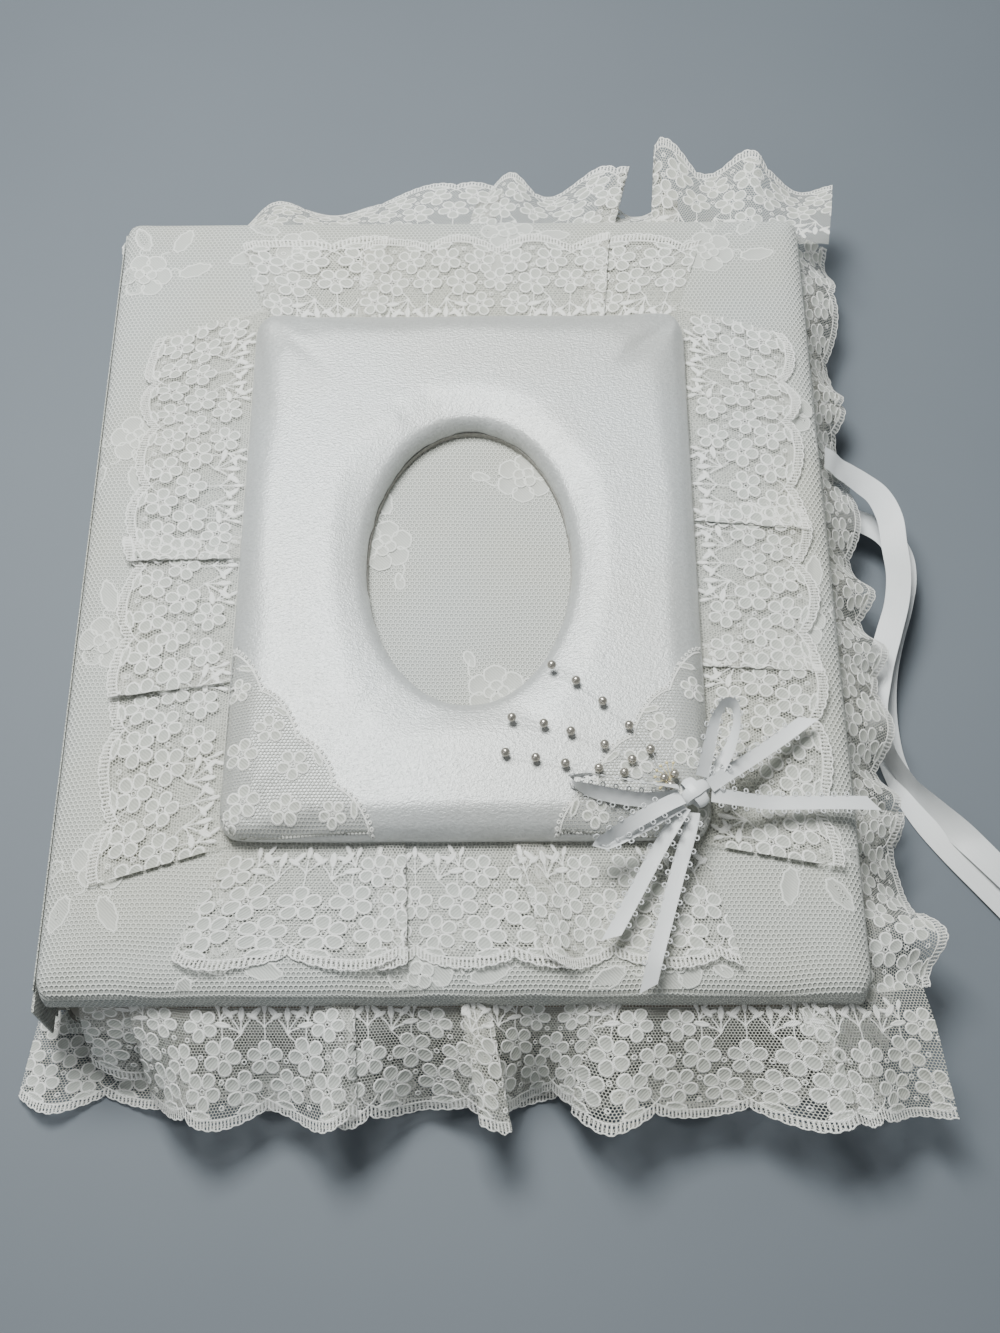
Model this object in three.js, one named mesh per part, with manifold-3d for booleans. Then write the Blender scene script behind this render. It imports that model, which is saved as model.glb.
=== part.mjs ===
// Keepsake wedding album, closed and lying on its back cover: padded boards wrapped in lace over
// satin, a padded satin frame with an oval window, gathered lace ruffles, a ribbon bow with pearl
// sprays, ribbon ties at the fore-edge, and card leaves on a three-ring mechanism.
// Millimetres, +Z up. The origin is on the underside of the back cover, at its middle.
// X runs from the spine (-X) to the fore-edge (+X), and Y from the foot (-Y) to the head (+Y).
import * as THREE from 'three';
import { mergeVertices } from 'three/addons/utils/BufferGeometryUtils.js';
import Module from 'manifold-3d';

const wasm = await Module();
wasm.setup();

// ---- Driving dimensions ----
const GAP = 0.3; // clearance between pieces that touch
const CUT = 40; // how far a cutting solid runs past what it cuts

const COVER = { width: 270, height: 317, corner: 8 };
const SKIN = 0.9; // lace laid over satin
const LINING = { thick: 1, margin: 5 };
const BOARD = { thick: 3, margin: 4 };
const BACK_PADDING = 2.6;
const FRONT_PADDING = 6.2;
const BACK_ROLL = 2.4; // radius of the rolled edge
const FRONT_ROLL = 6;

const SPINE = { board: 3, lining: 1 };

const RINGS = { radius: 13, wire: 2.4, spacing: 108, count: 3, spineClearance: 2.3, headroom: 0.6 };
const PLATE = { width: 26, margin: 10.5, thick: 1.6, crown: 0.6 };
const RIVET = { shank: 4, head: 7, headHigh: 0.9, fromEnd: 14 };

const LEAVES = { count: 8, thick: 2, pitch: 2.3, foreMargin: 9.5, footMargin: 7.5 };
const LEAF_HOLE = { clearance: 0.7, fromEdge: 6.5 };

const FRAME = { x: 3.7, y: -1.8, width: 162.5, height: 213, corner: 9, roll: 5 };
const FRAME_BOARD = { thick: 2.4, margin: 5 };
const FRAME_PADDING = 7.3;
const FRAME_SKIN = 0.8;
const WINDOW = { x: 4.4, y: -3.7, width: 69, height: 109 };

const SEAM = 1.2; // thickness of a gathered lace heading
const FRAME_RUFFLE = { reach: 41, thick: 5, sideOverrun: 9 };
const FOOT_RUFFLE = { reach: 32, drop: 19, thick: 3, fromSpine: 41, pastFore: 15 };
const HEAD_RUFFLE = { reach: 32, drop: 3, thick: 3, fromSpine: 49, pastFore: 11 };
const FORE_RUFFLE = { reach: 21, drop: 12, thick: 2.5, endMargin: 2.5 };
const BACK_RUFFLE = { reach: 24, high: 7, thick: 2, lift: 0.7 };
const BACK_FORE_REACH = 12; // the fore-edge ruffle lies close under the ties

const CORNER_LACE = { thick: 0.4, width: 46, height: 64, scallops: 4, depth: 2.2 };

const PEARL = 1.55; // radius
const WIRE = 0.35; // radius
const BOW_RIBBON = { width: 4, thick: 0.8 };
const TIE_RIBBON = { width: 9.5, thick: 1 };
const KNOT = { x: 77.7, y: -95.2, lift: 4.2, wide: 4.6, high: 3.5 };

// ---- Levels, from the underside of the back cover upwards ----
const backPaddingZ = SKIN + GAP;
const backBoardZ = backPaddingZ + BACK_PADDING + GAP;
const backLiningZ = backBoardZ + BOARD.thick + GAP;
const backTop = backLiningZ + LINING.thick;
const plateTop = backTop + GAP + PLATE.thick;
const stackZ = plateTop + RIVET.headHigh + 2 * GAP;
const stackHigh = (LEAVES.count - 1) * LEAVES.pitch + LEAVES.thick;
const ringZ = stackZ + stackHigh / 2; // the leaves are stacked evenly about the rings' centre
const frontBottom = ringZ + RINGS.radius + RINGS.wire / 2 + RINGS.headroom;
const frontBoardZ = frontBottom + LINING.thick + GAP;
const frontPaddingZ = frontBoardZ + BOARD.thick + GAP;
const coverTop = frontPaddingZ + FRONT_PADDING + GAP + SKIN;
const frameBoardZ = coverTop + GAP;
const framePaddingZ = frameBoardZ + FRAME_BOARD.thick + GAP;
const frameTop = framePaddingZ + FRAME_PADDING + GAP + FRAME_SKIN;

// ---- Places in plan ----
const foreEdge = COVER.width / 2;
const headEdge = COVER.height / 2;
const spineThick = SKIN + GAP + SPINE.board + GAP + SPINE.lining;
const ringX = spineThick + RINGS.spineClearance + RINGS.wire / 2 + RINGS.radius - foreEdge;
const plateLength = COVER.height - 2 * PLATE.margin;
const leafHeight = COVER.height - 2 * LEAVES.footMargin;
const leafWidth = foreEdge - LEAVES.foreMargin - (ringX + RINGS.radius - LEAF_HOLE.fromEdge);

// ---- Materials ----
const material = (color, roughness = 0.7, metalness = 0) =>
  new THREE.MeshStandardMaterial({ color, roughness, metalness });
const lace = () => material(0xe6e8e0, 0.85);
const laceOverSatin = () => material(0xc9cdc3, 0.7);
const satin = () => material(0xdcdedf, 0.4);
const batting = () => material(0xf2f1ec, 0.95);
const card = () => material(0x9c8b73, 0.9);
const paper = () => material(0xe9e6dc, 0.8);
const leafCard = () => material(0xb7a58c, 0.8);
const steel = () => material(0xc4c6c8, 0.25, 1);
const ribbonSatin = () => material(0xe4e8ee, 0.35);
const pearl = () => material(0xbdb6a6, 0.25, 0.3);

// ---- Making solids ----
const toSolid = (geometry) => {
  const bare = geometry.clone();
  bare.deleteAttribute('normal');
  bare.deleteAttribute('uv');
  const merged = mergeVertices(bare, 1e-4);
  return new wasm.Manifold(new wasm.Mesh({
    numProp: 3,
    vertProperties: new Float32Array(merged.attributes.position.array),
    triVerts: new Uint32Array(merged.index.array),
  }));
};

const toGeometry = (solid) => {
  const mesh = solid.getMesh();
  const geometry = new THREE.BufferGeometry();
  geometry.setAttribute('position', new THREE.BufferAttribute(new Float32Array(mesh.vertProperties), 3));
  geometry.setIndex(new THREE.BufferAttribute(new Uint32Array(mesh.triVerts), 1));
  geometry.computeVertexNormals();
  return geometry;
};

const box = (x0, x1, y0, y1, z0, z1) => {
  const geometry = new THREE.BoxGeometry(x1 - x0, y1 - y0, z1 - z0);
  return geometry.translate((x0 + x1) / 2, (y0 + y1) / 2, (z0 + z1) / 2);
};

const roundedOutline = (width, height, corner) => {
  const [x, y] = [width / 2, height / 2];
  const shape = new THREE.Shape();
  shape.moveTo(corner - x, -y);
  shape.lineTo(x - corner, -y);
  shape.absarc(x - corner, corner - y, corner, -Math.PI / 2, 0);
  shape.lineTo(x, y - corner);
  shape.absarc(x - corner, y - corner, corner, 0, Math.PI / 2);
  shape.lineTo(corner - x, y);
  shape.absarc(corner - x, y - corner, corner, Math.PI / 2, Math.PI);
  shape.lineTo(-x, corner - y);
  shape.absarc(corner - x, corner - y, corner, Math.PI, 1.5 * Math.PI);
  return shape;
};

const extrude = (shape, z0, z1, curveSegments = 5) =>
  new THREE.ExtrudeGeometry(shape, { depth: z1 - z0, bevelEnabled: false, curveSegments }).translate(0, 0, z0);

// A padded slab: square at one face and rolled over at the other.
const rolledSlab = (width, height, corner, z0, z1, roll, rolledUp = true) => {
  const geometry = new THREE.ExtrudeGeometry(roundedOutline(width, height, corner), {
    depth: z1 - z0,
    bevelThickness: roll,
    bevelSize: roll,
    bevelOffset: -roll,
    bevelSegments: 3,
    curveSegments: 3,
  });
  geometry.translate(0, 0, rolledUp ? z0 - roll : z0 + roll);
  const keep = box(-width, width, -height, height, z0, z1);
  return toSolid(geometry).intersect(toSolid(keep));
};

const windowColumn = (wider, z0, z1) => {
  const shape = new THREE.Shape();
  shape.absellipse(WINDOW.x, WINDOW.y, WINDOW.width / 2 + wider, WINDOW.height / 2 + wider, 0, 2 * Math.PI);
  return toSolid(extrude(shape, z0, z1, 30));
};

const album = new THREE.Group();
album.name = 'wedding_album';

const add = (name, shape, finish) => {
  const geometry = shape.isBufferGeometry ? shape : toGeometry(shape);
  const mesh = new THREE.Mesh(geometry, finish);
  mesh.name = name;
  album.add(mesh);
};

// ---- Covers: lining, board and batting in a tray of wrapped lace and satin ----
const coverCore = (thick, margin, z) => {
  const inset = 2 * margin;
  return extrude(roundedOutline(COVER.width - inset, COVER.height - inset, COVER.corner - 2), z, z + thick);
};

const coverTray = (z0, z1, roll, pocket0, pocket1, rolledUp) => {
  const inset = 2 * SKIN;
  const skin = rolledSlab(COVER.width, COVER.height, COVER.corner, z0, z1, roll, rolledUp);
  const pocket = rolledSlab(
    COVER.width - inset, COVER.height - inset, COVER.corner - SKIN, pocket0, pocket1, roll - SKIN, rolledUp);
  return skin.subtract(pocket);
};

const coverBatting = (z0, z1, roll, rolledUp) => {
  const inset = 2 * (SKIN + GAP);
  return rolledSlab(
    COVER.width - inset, COVER.height - inset, COVER.corner - SKIN - GAP, z0, z1, roll - SKIN - GAP, rolledUp);
};

const rivetYs = [-1, 1].map((side) => side * (plateLength / 2 - RIVET.fromEnd));
const rivetHoles = (z0, z1) => rivetYs
  .map((y) => toSolid(new THREE.CylinderGeometry(RIVET.shank / 2 + GAP, RIVET.shank / 2 + GAP, z1 - z0, 12)
    .rotateX(Math.PI / 2)
    .translate(ringX, y, (z0 + z1) / 2)))
  .reduce((all, hole) => all.add(hole));

const addBackCover = () => {
  add('back_cover_skin', coverTray(0, backTop, BACK_ROLL, SKIN, backTop + CUT, false), laceOverSatin());
  add('back_padding', coverBatting(backPaddingZ, backPaddingZ + BACK_PADDING, BACK_ROLL, false), batting());
  const board = toSolid(coverCore(BOARD.thick, BOARD.margin, backBoardZ));
  add('back_board', board.subtract(rivetHoles(backBoardZ - 1, backTop + 1)), card());
  const lining = toSolid(coverCore(LINING.thick, LINING.margin, backLiningZ));
  add('back_lining', lining.subtract(rivetHoles(backBoardZ - 1, backTop + 1)), paper());
};

const addFrontCover = () => {
  const pocketTop = coverTop - SKIN;
  add('front_cover_skin',
    coverTray(frontBottom, coverTop, FRONT_ROLL, frontBottom - CUT, pocketTop, true), laceOverSatin());
  add('front_padding', coverBatting(frontPaddingZ, pocketTop - GAP, FRONT_ROLL, true), batting());
  add('front_board', coverCore(BOARD.thick, BOARD.margin, frontBoardZ), card());
  add('front_lining', coverCore(LINING.thick, LINING.margin, frontBottom), paper());
};

// ---- Spine: a narrow board between the two hinges ----
const addSpine = () => {
  const [z0, z1] = [backTop + GAP, frontBottom - GAP];
  const y = headEdge - COVER.corner;
  const skinX = -foreEdge;
  const boardX = skinX + SKIN + GAP;
  const liningX = boardX + SPINE.board + GAP;
  add('spine_skin', box(skinX, skinX + SKIN, -headEdge, headEdge, z0, z1), laceOverSatin());
  add('spine_board', box(boardX, boardX + SPINE.board, -y, y, z0, z1), card());
  add('spine_lining', box(liningX, liningX + SPINE.lining, -y, y, z0, z1), paper());
};

// ---- Ring mechanism: a crowned plate riveted to the back board, and three split rings ----
const addPlate = () => {
  const [half, low, high] = [PLATE.width / 2, backTop + GAP, plateTop];
  const section = new THREE.Shape();
  section.moveTo(-half, low);
  section.lineTo(half, low);
  section.lineTo(half, high - PLATE.crown);
  section.quadraticCurveTo(half / 2, high, 0, high);
  section.quadraticCurveTo(-half / 2, high, -half, high - PLATE.crown);
  const bar = new THREE.ExtrudeGeometry(section, { depth: plateLength, bevelEnabled: false, curveSegments: 5 });
  bar.rotateX(Math.PI / 2).translate(ringX, plateLength / 2, 0);
  add('ring_plate', toSolid(bar).subtract(rivetHoles(backTop, plateTop + 1)), steel());
};

const addRivets = () => rivetYs.forEach((y, i) => {
  const headZ = plateTop + GAP;
  const profile = [
    [0, backBoardZ], [RIVET.shank / 2, backBoardZ], [RIVET.shank / 2, headZ], [RIVET.head / 2, headZ],
    [RIVET.head / 2 - 0.5, headZ + RIVET.headHigh * 0.7], [0, headZ + RIVET.headHigh],
  ].map(([r, z]) => new THREE.Vector2(r, z));
  add(`rivet_${i + 1}`, new THREE.LatheGeometry(profile, 12).rotateX(Math.PI / 2).translate(ringX, y, 0), steel());
});

class RingArc extends THREE.Curve {
  constructor(x, y, z, radius, from, to) {
    super();
    Object.assign(this, { x, y, z, radius, from, to });
  }

  getPoint(t, target = new THREE.Vector3()) {
    const angle = this.from + t * (this.to - this.from);
    return target.set(this.x + this.radius * Math.cos(angle), this.y, this.z + this.radius * Math.sin(angle));
  }
}

const circleSection = (radius, sides) => new THREE.Shape(Array.from({ length: sides }, (_, i) => {
  const angle = (2 * Math.PI * i) / sides;
  return new THREE.Vector2(radius * Math.cos(angle), radius * Math.sin(angle));
}));

const alongCurve = (curve, section, steps) =>
  new THREE.ExtrudeGeometry(section, { extrudePath: curve, steps, bevelEnabled: false });

const addRings = () => {
  const floorAngle = -Math.asin((ringZ - plateTop - GAP) / RINGS.radius);
  const meeting = GAP / 2 / RINGS.radius;
  const abovePlate = toSolid(box(-CUT, CUT, -1, 1, 0, CUT).scale(4, headEdge, 1).translate(0, 0, plateTop + GAP));
  for (let i = 0; i < RINGS.count; i += 1) {
    const y = (i - (RINGS.count - 1) / 2) * RINGS.spacing;
    const halves = [
      ['outer', floorAngle - 0.3, Math.PI / 2 - meeting],
      ['inner', Math.PI - floorAngle + 0.3, Math.PI / 2 + meeting],
    ];
    for (const [side, from, to] of halves) {
      const arc = new RingArc(ringX, y, ringZ, RINGS.radius, from, to);
      const tube = toSolid(alongCurve(arc, circleSection(RINGS.wire / 2, 8), 12));
      add(`ring_${i + 1}_${side}`, tube.intersect(abovePlate), steel());
    }
  }
};

// ---- Leaves: punched card pages threaded on the rings ----
// The hole clears the ring where it leans most, at the top and the bottom of the stack.
const holeRadius = () => {
  const lean = Math.asin(stackHigh / 2 / RINGS.radius);
  return (LEAVES.thick / 2) * Math.tan(lean) + RINGS.wire / 2 / Math.cos(lean) + LEAF_HOLE.clearance;
};

const addLeaves = () => {
  for (let i = 0; i < LEAVES.count; i += 1) {
    const z = stackZ + i * LEAVES.pitch;
    const aboveRings = z + LEAVES.thick / 2 - ringZ;
    const holeX = ringX + Math.sqrt(RINGS.radius ** 2 - aboveRings ** 2);
    const page = roundedOutline(leafWidth, leafHeight, 3);
    for (let ring = 0; ring < RINGS.count; ring += 1) {
      const hole = new THREE.Path();
      const y = (ring - (RINGS.count - 1) / 2) * RINGS.spacing;
      hole.absarc(LEAF_HOLE.fromEdge - leafWidth / 2, y, holeRadius(), 0, 2 * Math.PI, true);
      page.holes.push(hole);
    }
    const middleX = holeX - LEAF_HOLE.fromEdge + leafWidth / 2;
    add(`leaf_${i + 1}`, extrude(page, z, z + LEAVES.thick, 4).translate(middleX, 0, 0), leafCard());
  }
};

// ---- Padded satin photo frame ----
const frameSlab = (inset, z0, z1) => {
  const [width, height] = [FRAME.width - 2 * inset, FRAME.height - 2 * inset];
  return rolledSlab(width, height, FRAME.corner - inset, z0, z1, FRAME.roll - inset);
};

const addFrame = () => {
  const lip = coverTop + SEAM + 2 * GAP;
  const place = [FRAME.x, FRAME.y, 0];
  const hollow = frameSlab(FRAME_SKIN, lip - CUT, frameTop - FRAME_SKIN).translate(place)
    .subtract(windowColumn(FRAME_SKIN, 0, frameTop + CUT));
  const wall = windowColumn(FRAME_SKIN, frameBoardZ, lip + 1);
  const skin = frameSlab(0, lip, frameTop).translate(place).subtract(hollow).add(wall)
    .subtract(windowColumn(0, 0, frameTop + CUT));
  add('frame_satin', skin, satin());

  const inside = FRAME_SKIN + GAP;
  const pad = frameSlab(inside, framePaddingZ, framePaddingZ + FRAME_PADDING).translate(place);
  add('frame_padding', pad.subtract(windowColumn(inside, 0, frameTop + CUT)), batting());

  const inset = 2 * FRAME_BOARD.margin;
  const outline = roundedOutline(FRAME.width - inset, FRAME.height - inset, FRAME.corner - FRAME_BOARD.margin);
  const board = toSolid(extrude(outline, frameBoardZ, frameBoardZ + FRAME_BOARD.thick)).translate(place);
  add('frame_board', board.subtract(windowColumn(inside, 0, frameTop + CUT)), card());
};

// Lace corner of the frame: a triangle whose long side is a row of scallops.
const addCornerLace = (name, side) => {
  const { thick, width, height, scallops, depth } = CORNER_LACE;
  const cornerX = FRAME.x + side * (FRAME.width / 2 - FRAME.roll);
  const cornerY = FRAME.y - FRAME.height / 2 + FRAME.roll;
  const foot = new THREE.Vector2(cornerX - side * width, cornerY);
  const top = new THREE.Vector2(cornerX, cornerY + height);
  const bulge = new THREE.Vector2(-side * height, width).setLength(2 * depth);
  const shape = new THREE.Shape();
  shape.moveTo(cornerX, cornerY);
  shape.lineTo(foot.x, foot.y);
  for (let i = 0; i < scallops; i += 1) {
    const middle = new THREE.Vector2().lerpVectors(foot, top, (i + 0.5) / scallops).add(bulge);
    const end = new THREE.Vector2().lerpVectors(foot, top, (i + 1) / scallops);
    shape.quadraticCurveTo(middle.x, middle.y, end.x, end.y);
  }
  const z = frameTop + GAP;
  add(name, toSolid(extrude(shape, z, z + thick, 4)), lace());
};

// ---- Gathered lace ruffles ----
const UP = new THREE.Vector3(0, 0, 1);
const OUTWARD = {
  foot: new THREE.Vector3(0, -1, 0),
  head: new THREE.Vector3(0, 1, 0),
  fore: new THREE.Vector3(1, 0, 0),
  spine: new THREE.Vector3(-1, 0, 0),
};

// A strip that leaves one edge of the album and runs along it between two places. The points of
// its section are [distance outward from the edge, height].
const addStrip = (name, side, edge, from, to, section) => {
  const shape = new THREE.Shape(section.map(([u, z]) => new THREE.Vector2(u, z)));
  const run = to - from;
  const geometry = new THREE.ExtrudeGeometry(shape, { depth: run, bevelEnabled: false });
  const outward = OUTWARD[side];
  const along = new THREE.Vector3().crossVectors(outward, UP);
  const middle = (from + to) / 2;
  const start = outward.y === 0 ? new THREE.Vector3(edge, middle, 0) : new THREE.Vector3(middle, edge, 0);
  start.addScaledVector(along, -run / 2);
  const place = new THREE.Matrix4().makeBasis(outward, UP, along).setPosition(start);
  add(name, toSolid(geometry.applyMatrix4(place)), lace());
};

const addFrameRuffles = () => {
  const z = coverTop + GAP;
  const heading = FRAME_BOARD.margin - GAP;
  const { reach, thick, sideOverrun } = FRAME_RUFFLE;
  const section = [
    [0, z], [heading + reach, z], [heading + reach, z + thick * 0.8], [heading + reach * 0.6, z + thick],
    [heading + 3, z + SEAM], [0, z + SEAM],
  ];
  const [x0, x1] = [-1, 1].map((side) => FRAME.x + side * (FRAME.width / 2 - heading));
  const [y0, y1] = [-1, 1].map((side) => FRAME.y + side * (FRAME.height / 2 - heading));
  const overrun = sideOverrun + heading;
  addStrip('frame_ruffle_spine_side', 'spine', x0, y0 - overrun, y1 + overrun, section);
  addStrip('frame_ruffle_fore_side', 'fore', x1, y0 - overrun, y1 + overrun, section);
  addStrip('frame_ruffle_head', 'head', y1, x0 + GAP, x1 - GAP, section);
  addStrip('frame_ruffle_foot', 'foot', y0, x0 + GAP, x1 - GAP, section);
};

const droop = ({ reach, drop, thick }, root) => [
  [GAP, root], [reach * 0.45, root - drop * 0.2], [reach * 0.8, root - drop * 0.6], [reach, root - drop],
  [reach + thick * 0.6, root - drop + thick * 0.8], [reach * 0.85, root - drop * 0.55 + thick],
  [reach * 0.5, root - drop * 0.15 + thick], [GAP, root + SEAM],
];

const addEdgeRuffles = () => {
  const root = frontBottom + LINING.thick + 0.9;
  const span = ({ fromSpine, pastFore }) => [fromSpine - foreEdge, foreEdge + pastFore];
  const foreEnd = headEdge - FORE_RUFFLE.endMargin;
  addStrip('front_ruffle_foot', 'foot', -headEdge, ...span(FOOT_RUFFLE), droop(FOOT_RUFFLE, root));
  addStrip('front_ruffle_head', 'head', headEdge, ...span(HEAD_RUFFLE), droop(HEAD_RUFFLE, root));
  addStrip('front_ruffle_fore', 'fore', foreEdge, -foreEnd, foreEnd, droop(FORE_RUFFLE, root));

  const { reach, high, thick, lift } = BACK_RUFFLE;
  const lying = (length) => [
    [GAP, high - thick], [length * 0.4, lift], [length, lift], [length, lift + thick],
    [length * 0.45, lift + thick + 1.5], [GAP, high],
  ];
  addStrip('back_ruffle_foot', 'foot', -headEdge, -foreEdge - 5, foreEdge, lying(reach));
  addStrip('back_ruffle_head', 'head', headEdge, -foreEdge - 5, foreEdge, lying(reach));
  addStrip('back_ruffle_fore', 'fore', foreEdge, -headEdge + GAP, headEdge - GAP, lying(BACK_FORE_REACH));
};

// ---- Ribbons: satin strips along routes chosen by hand ----
const flatSection = (across, through) => {
  const [x, y, cut] = [across / 2, through / 2, Math.min(across, through) / 4];
  return new THREE.Shape([
    [x, cut - y], [x, y - cut], [x - cut, y], [cut - x, y], [-x, y - cut], [-x, cut - y], [cut - x, -y], [x - cut, -y],
  ].map(([a, b]) => new THREE.Vector2(a, b)));
};

// An extruded section's first axis starts along the axis that the route's first step leans on
// least. The ribbon lies flat when that is the height, and its section is turned when it isn't.
const addRibbon = (name, { width, thick }, route, steps) => {
  const curve = new THREE.CatmullRomCurve3(route.map((point) => new THREE.Vector3(...point)), false, 'centripetal');
  const lean = curve.getTangentAt(0).toArray().map(Math.abs);
  const startsUpright = lean[2] <= Math.min(lean[0], lean[1]);
  const section = startsUpright ? flatSection(thick, width) : flatSection(width, thick);
  add(name, toSolid(alongCurve(curve, section, steps)), ribbonSatin());
};

const BOW_ROUTES = {
  bow_loop_up: [
    [80, -90.4, 65], [82.4, -81.5, 68.2], [85, -72, 69], [88.6, -66, 69], [91.6, -66.6, 68],
    [92.4, -71, 66.6], [90, -79.5, 64.6], [85.6, -87, 62.6], [82.6, -91.4, 61.6],
  ],
  bow_loop_left: [
    [72.4, -96.4, 62.4], [62, -97.2, 62.2], [50, -95.4, 62.2], [41.5, -92.8, 62.4], [38.8, -90.8, 64.6],
    [42, -90.4, 67.4], [50, -91.4, 68], [62, -93.4, 67.6], [72.2, -94.2, 66],
  ],
  bow_loop_foot: [
    [73.4, -98.8, 63.6], [66, -103.6, 64], [56, -109, 62.8], [48.4, -112.4, 61], [46.4, -112.8, 62.6],
    [50, -110.6, 65.2], [58, -106.4, 67], [67, -101.2, 66.8], [73.2, -97.8, 65.6],
  ],
  bow_tail_up: [
    [82.4, -93.4, 64.4], [88, -89, 63], [97, -82, 59.6], [107, -74, 56.4], [117.6, -65.6, 55.2],
  ],
  bow_tail_fore: [
    [83, -95.8, 62.8], [90, -96.2, 61], [101, -96.2, 57], [113, -95.8, 55.4], [126, -95.2, 54], [137, -94.8, 52.4],
  ],
  bow_tail_left: [
    [74.2, -100, 62.4], [70.2, -106, 61.6], [64, -115.6, 57.6], [57, -128, 55.2], [50, -140.6, 54.6],
  ],
  bow_tail_foot: [
    [77.2, -101.2, 60.8], [75.6, -107.4, 59.6], [72, -118.4, 56.2], [67.6, -133.4, 54.8], [63.6, -147, 54.2],
    [61.2, -156, 51.2],
  ],
};

const TIE_ROUTES = {
  tie_ribbon_front: [
    [136, 50.2, 35.6], [138.8, 49.9, 33.4], [142.2, 49.2, 29.6], [146.4, 48.4, 26.4], [151.6, 46.2, 23.8],
    [157.2, 41.6, 22.6], [160.8, 32.4, 22.2], [161.6, 20.4, 21.4], [162.4, 9.6, 19.4], [161, -1.4, 17.6],
    [157.4, -12.8, 15.8], [153.6, -24.4, 14.4], [151, -35, 13.4], [149.8, -43, 12.4], [151, -51.4, 10.8],
    [154.8, -59.6, 8.2], [161, -68.4, 5.4], [169.8, -78.8, 4.2], [179.6, -89.4, 3.6], [189.8, -101.2, 3.3],
    [199.6, -113, 3.1], [209, -125, 3], [217.4, -137.4, 3],
  ],
  tie_ribbon_back: [
    [136, 40.4, 8.7], [139, 40.2, 9.4], [145, 39.4, 10.6], [153, 36.4, 11.6], [161, 30.6, 12],
    [165.6, 21.6, 12], [166, 11.4, 11.4], [163.4, -0.4, 10.4], [159.4, -12.4, 9.2], [156.2, -24.4, 7.6],
    [154.8, -36, 5.4], [155, -47, 3.2], [156.4, -58, 1.6], [160, -69.4, 1.2], [166, -81, 1.2],
    [174.4, -93, 1.2], [184, -105, 1.2], [193.6, -117, 1.2], [203, -129, 1.2], [211, -141, 1.2],
  ],
};

// Pearl sprays: pearls threaded on clear line that fans out from the bow.
const SPRAYS = [
  [[32.5, -48.4], [40.5, -54.2], [49.1, -61.8], [57.5, -70.6], [64.2, -79.2]],
  [[19.1, -67.6], [29.6, -69.8], [38.4, -72.6], [49.3, -77.4], [58.1, -82.8]],
  [[17, -80.1], [26.8, -82], [36.4, -84], [47.2, -85.8], [55.4, -87.4]],
];
const SPRAY_ENDS = [[66.2, -84.2], [64.4, -86.2], [63, -88.6]];
const CLUSTER = [[68.2, -89.4], [71.6, -88], [70.2, -92]];
const pearlZ = frameTop + 2 * GAP + CORNER_LACE.thick + PEARL;

const bead = (x, y, radius) => toSolid(new THREE.SphereGeometry(radius, 8, 6).translate(x, y, pearlZ));

const addSprays = () => {
  SPRAYS.forEach((points, i) => {
    const route = [...points, SPRAY_ENDS[i]].map(([x, y]) => new THREE.Vector3(x, y, pearlZ));
    const line = toSolid(alongCurve(new THREE.CatmullRomCurve3(route), circleSection(WIRE, 5), 10));
    const beads = points.map(([x, y]) => bead(x, y, PEARL));
    add(`pearl_spray_${i + 1}`, beads.reduce((all, one) => all.add(one), line), pearl());
  });
  const stem = (from, to) => {
    const points = [from, to].map(([x, y]) => new THREE.Vector3(x, y, pearlZ));
    return toSolid(alongCurve(new THREE.LineCurve3(...points), circleSection(2 * WIRE, 6), 1));
  };
  const joined = stem(CLUSTER[0], CLUSTER[1]).add(stem(CLUSTER[1], CLUSTER[2])).add(stem(CLUSTER[2], CLUSTER[0]));
  const cluster = CLUSTER.reduce((all, [x, y]) => all.add(bead(x, y, PEARL)), joined);
  add('pearl_cluster', cluster, pearl());
};

const addBow = () => {
  const knot = new THREE.SphereGeometry(1, 14, 10).scale(KNOT.wide, KNOT.wide, KNOT.high);
  add('bow_knot', toSolid(knot.translate(KNOT.x, KNOT.y, frameTop + CORNER_LACE.thick + KNOT.lift)), ribbonSatin());
  for (const [name, route] of Object.entries(BOW_ROUTES)) {
    addRibbon(name, BOW_RIBBON, route, 3 * route.length);
  }
};

const addTies = () => {
  for (const [name, route] of Object.entries(TIE_ROUTES)) {
    addRibbon(name, TIE_RIBBON, route, 2 * route.length);
  }
};

addBackCover();
addFrontCover();
addSpine();
addPlate();
addRivets();
addRings();
addLeaves();
addFrame();
addCornerLace('corner_lace_spine_side', -1);
addCornerLace('corner_lace_fore_side', 1);
addFrameRuffles();
addEdgeRuffles();
addBow();
addSprays();
addTies();

export default album;
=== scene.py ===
# %% [markdown]
# # A wedding photo album with a padded lace cover
# The album lies shut on its back cover. A puffed satin photo frame with an oval window is mounted
# on the lace cover, with gathered lace round it, two lace corners, three pearl sprays and a bow.
# The CAD model fixes every size and every hinge. Blender gives the soft things their real surface:
# cloth that swells, lace with holes in it, ribbon that turns over. We begin by loading that frame.

# %% Load the CAD frame
import math

import bmesh
import bpy
import numpy as np
from mathutils import Matrix, Vector, bvhtree


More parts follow.
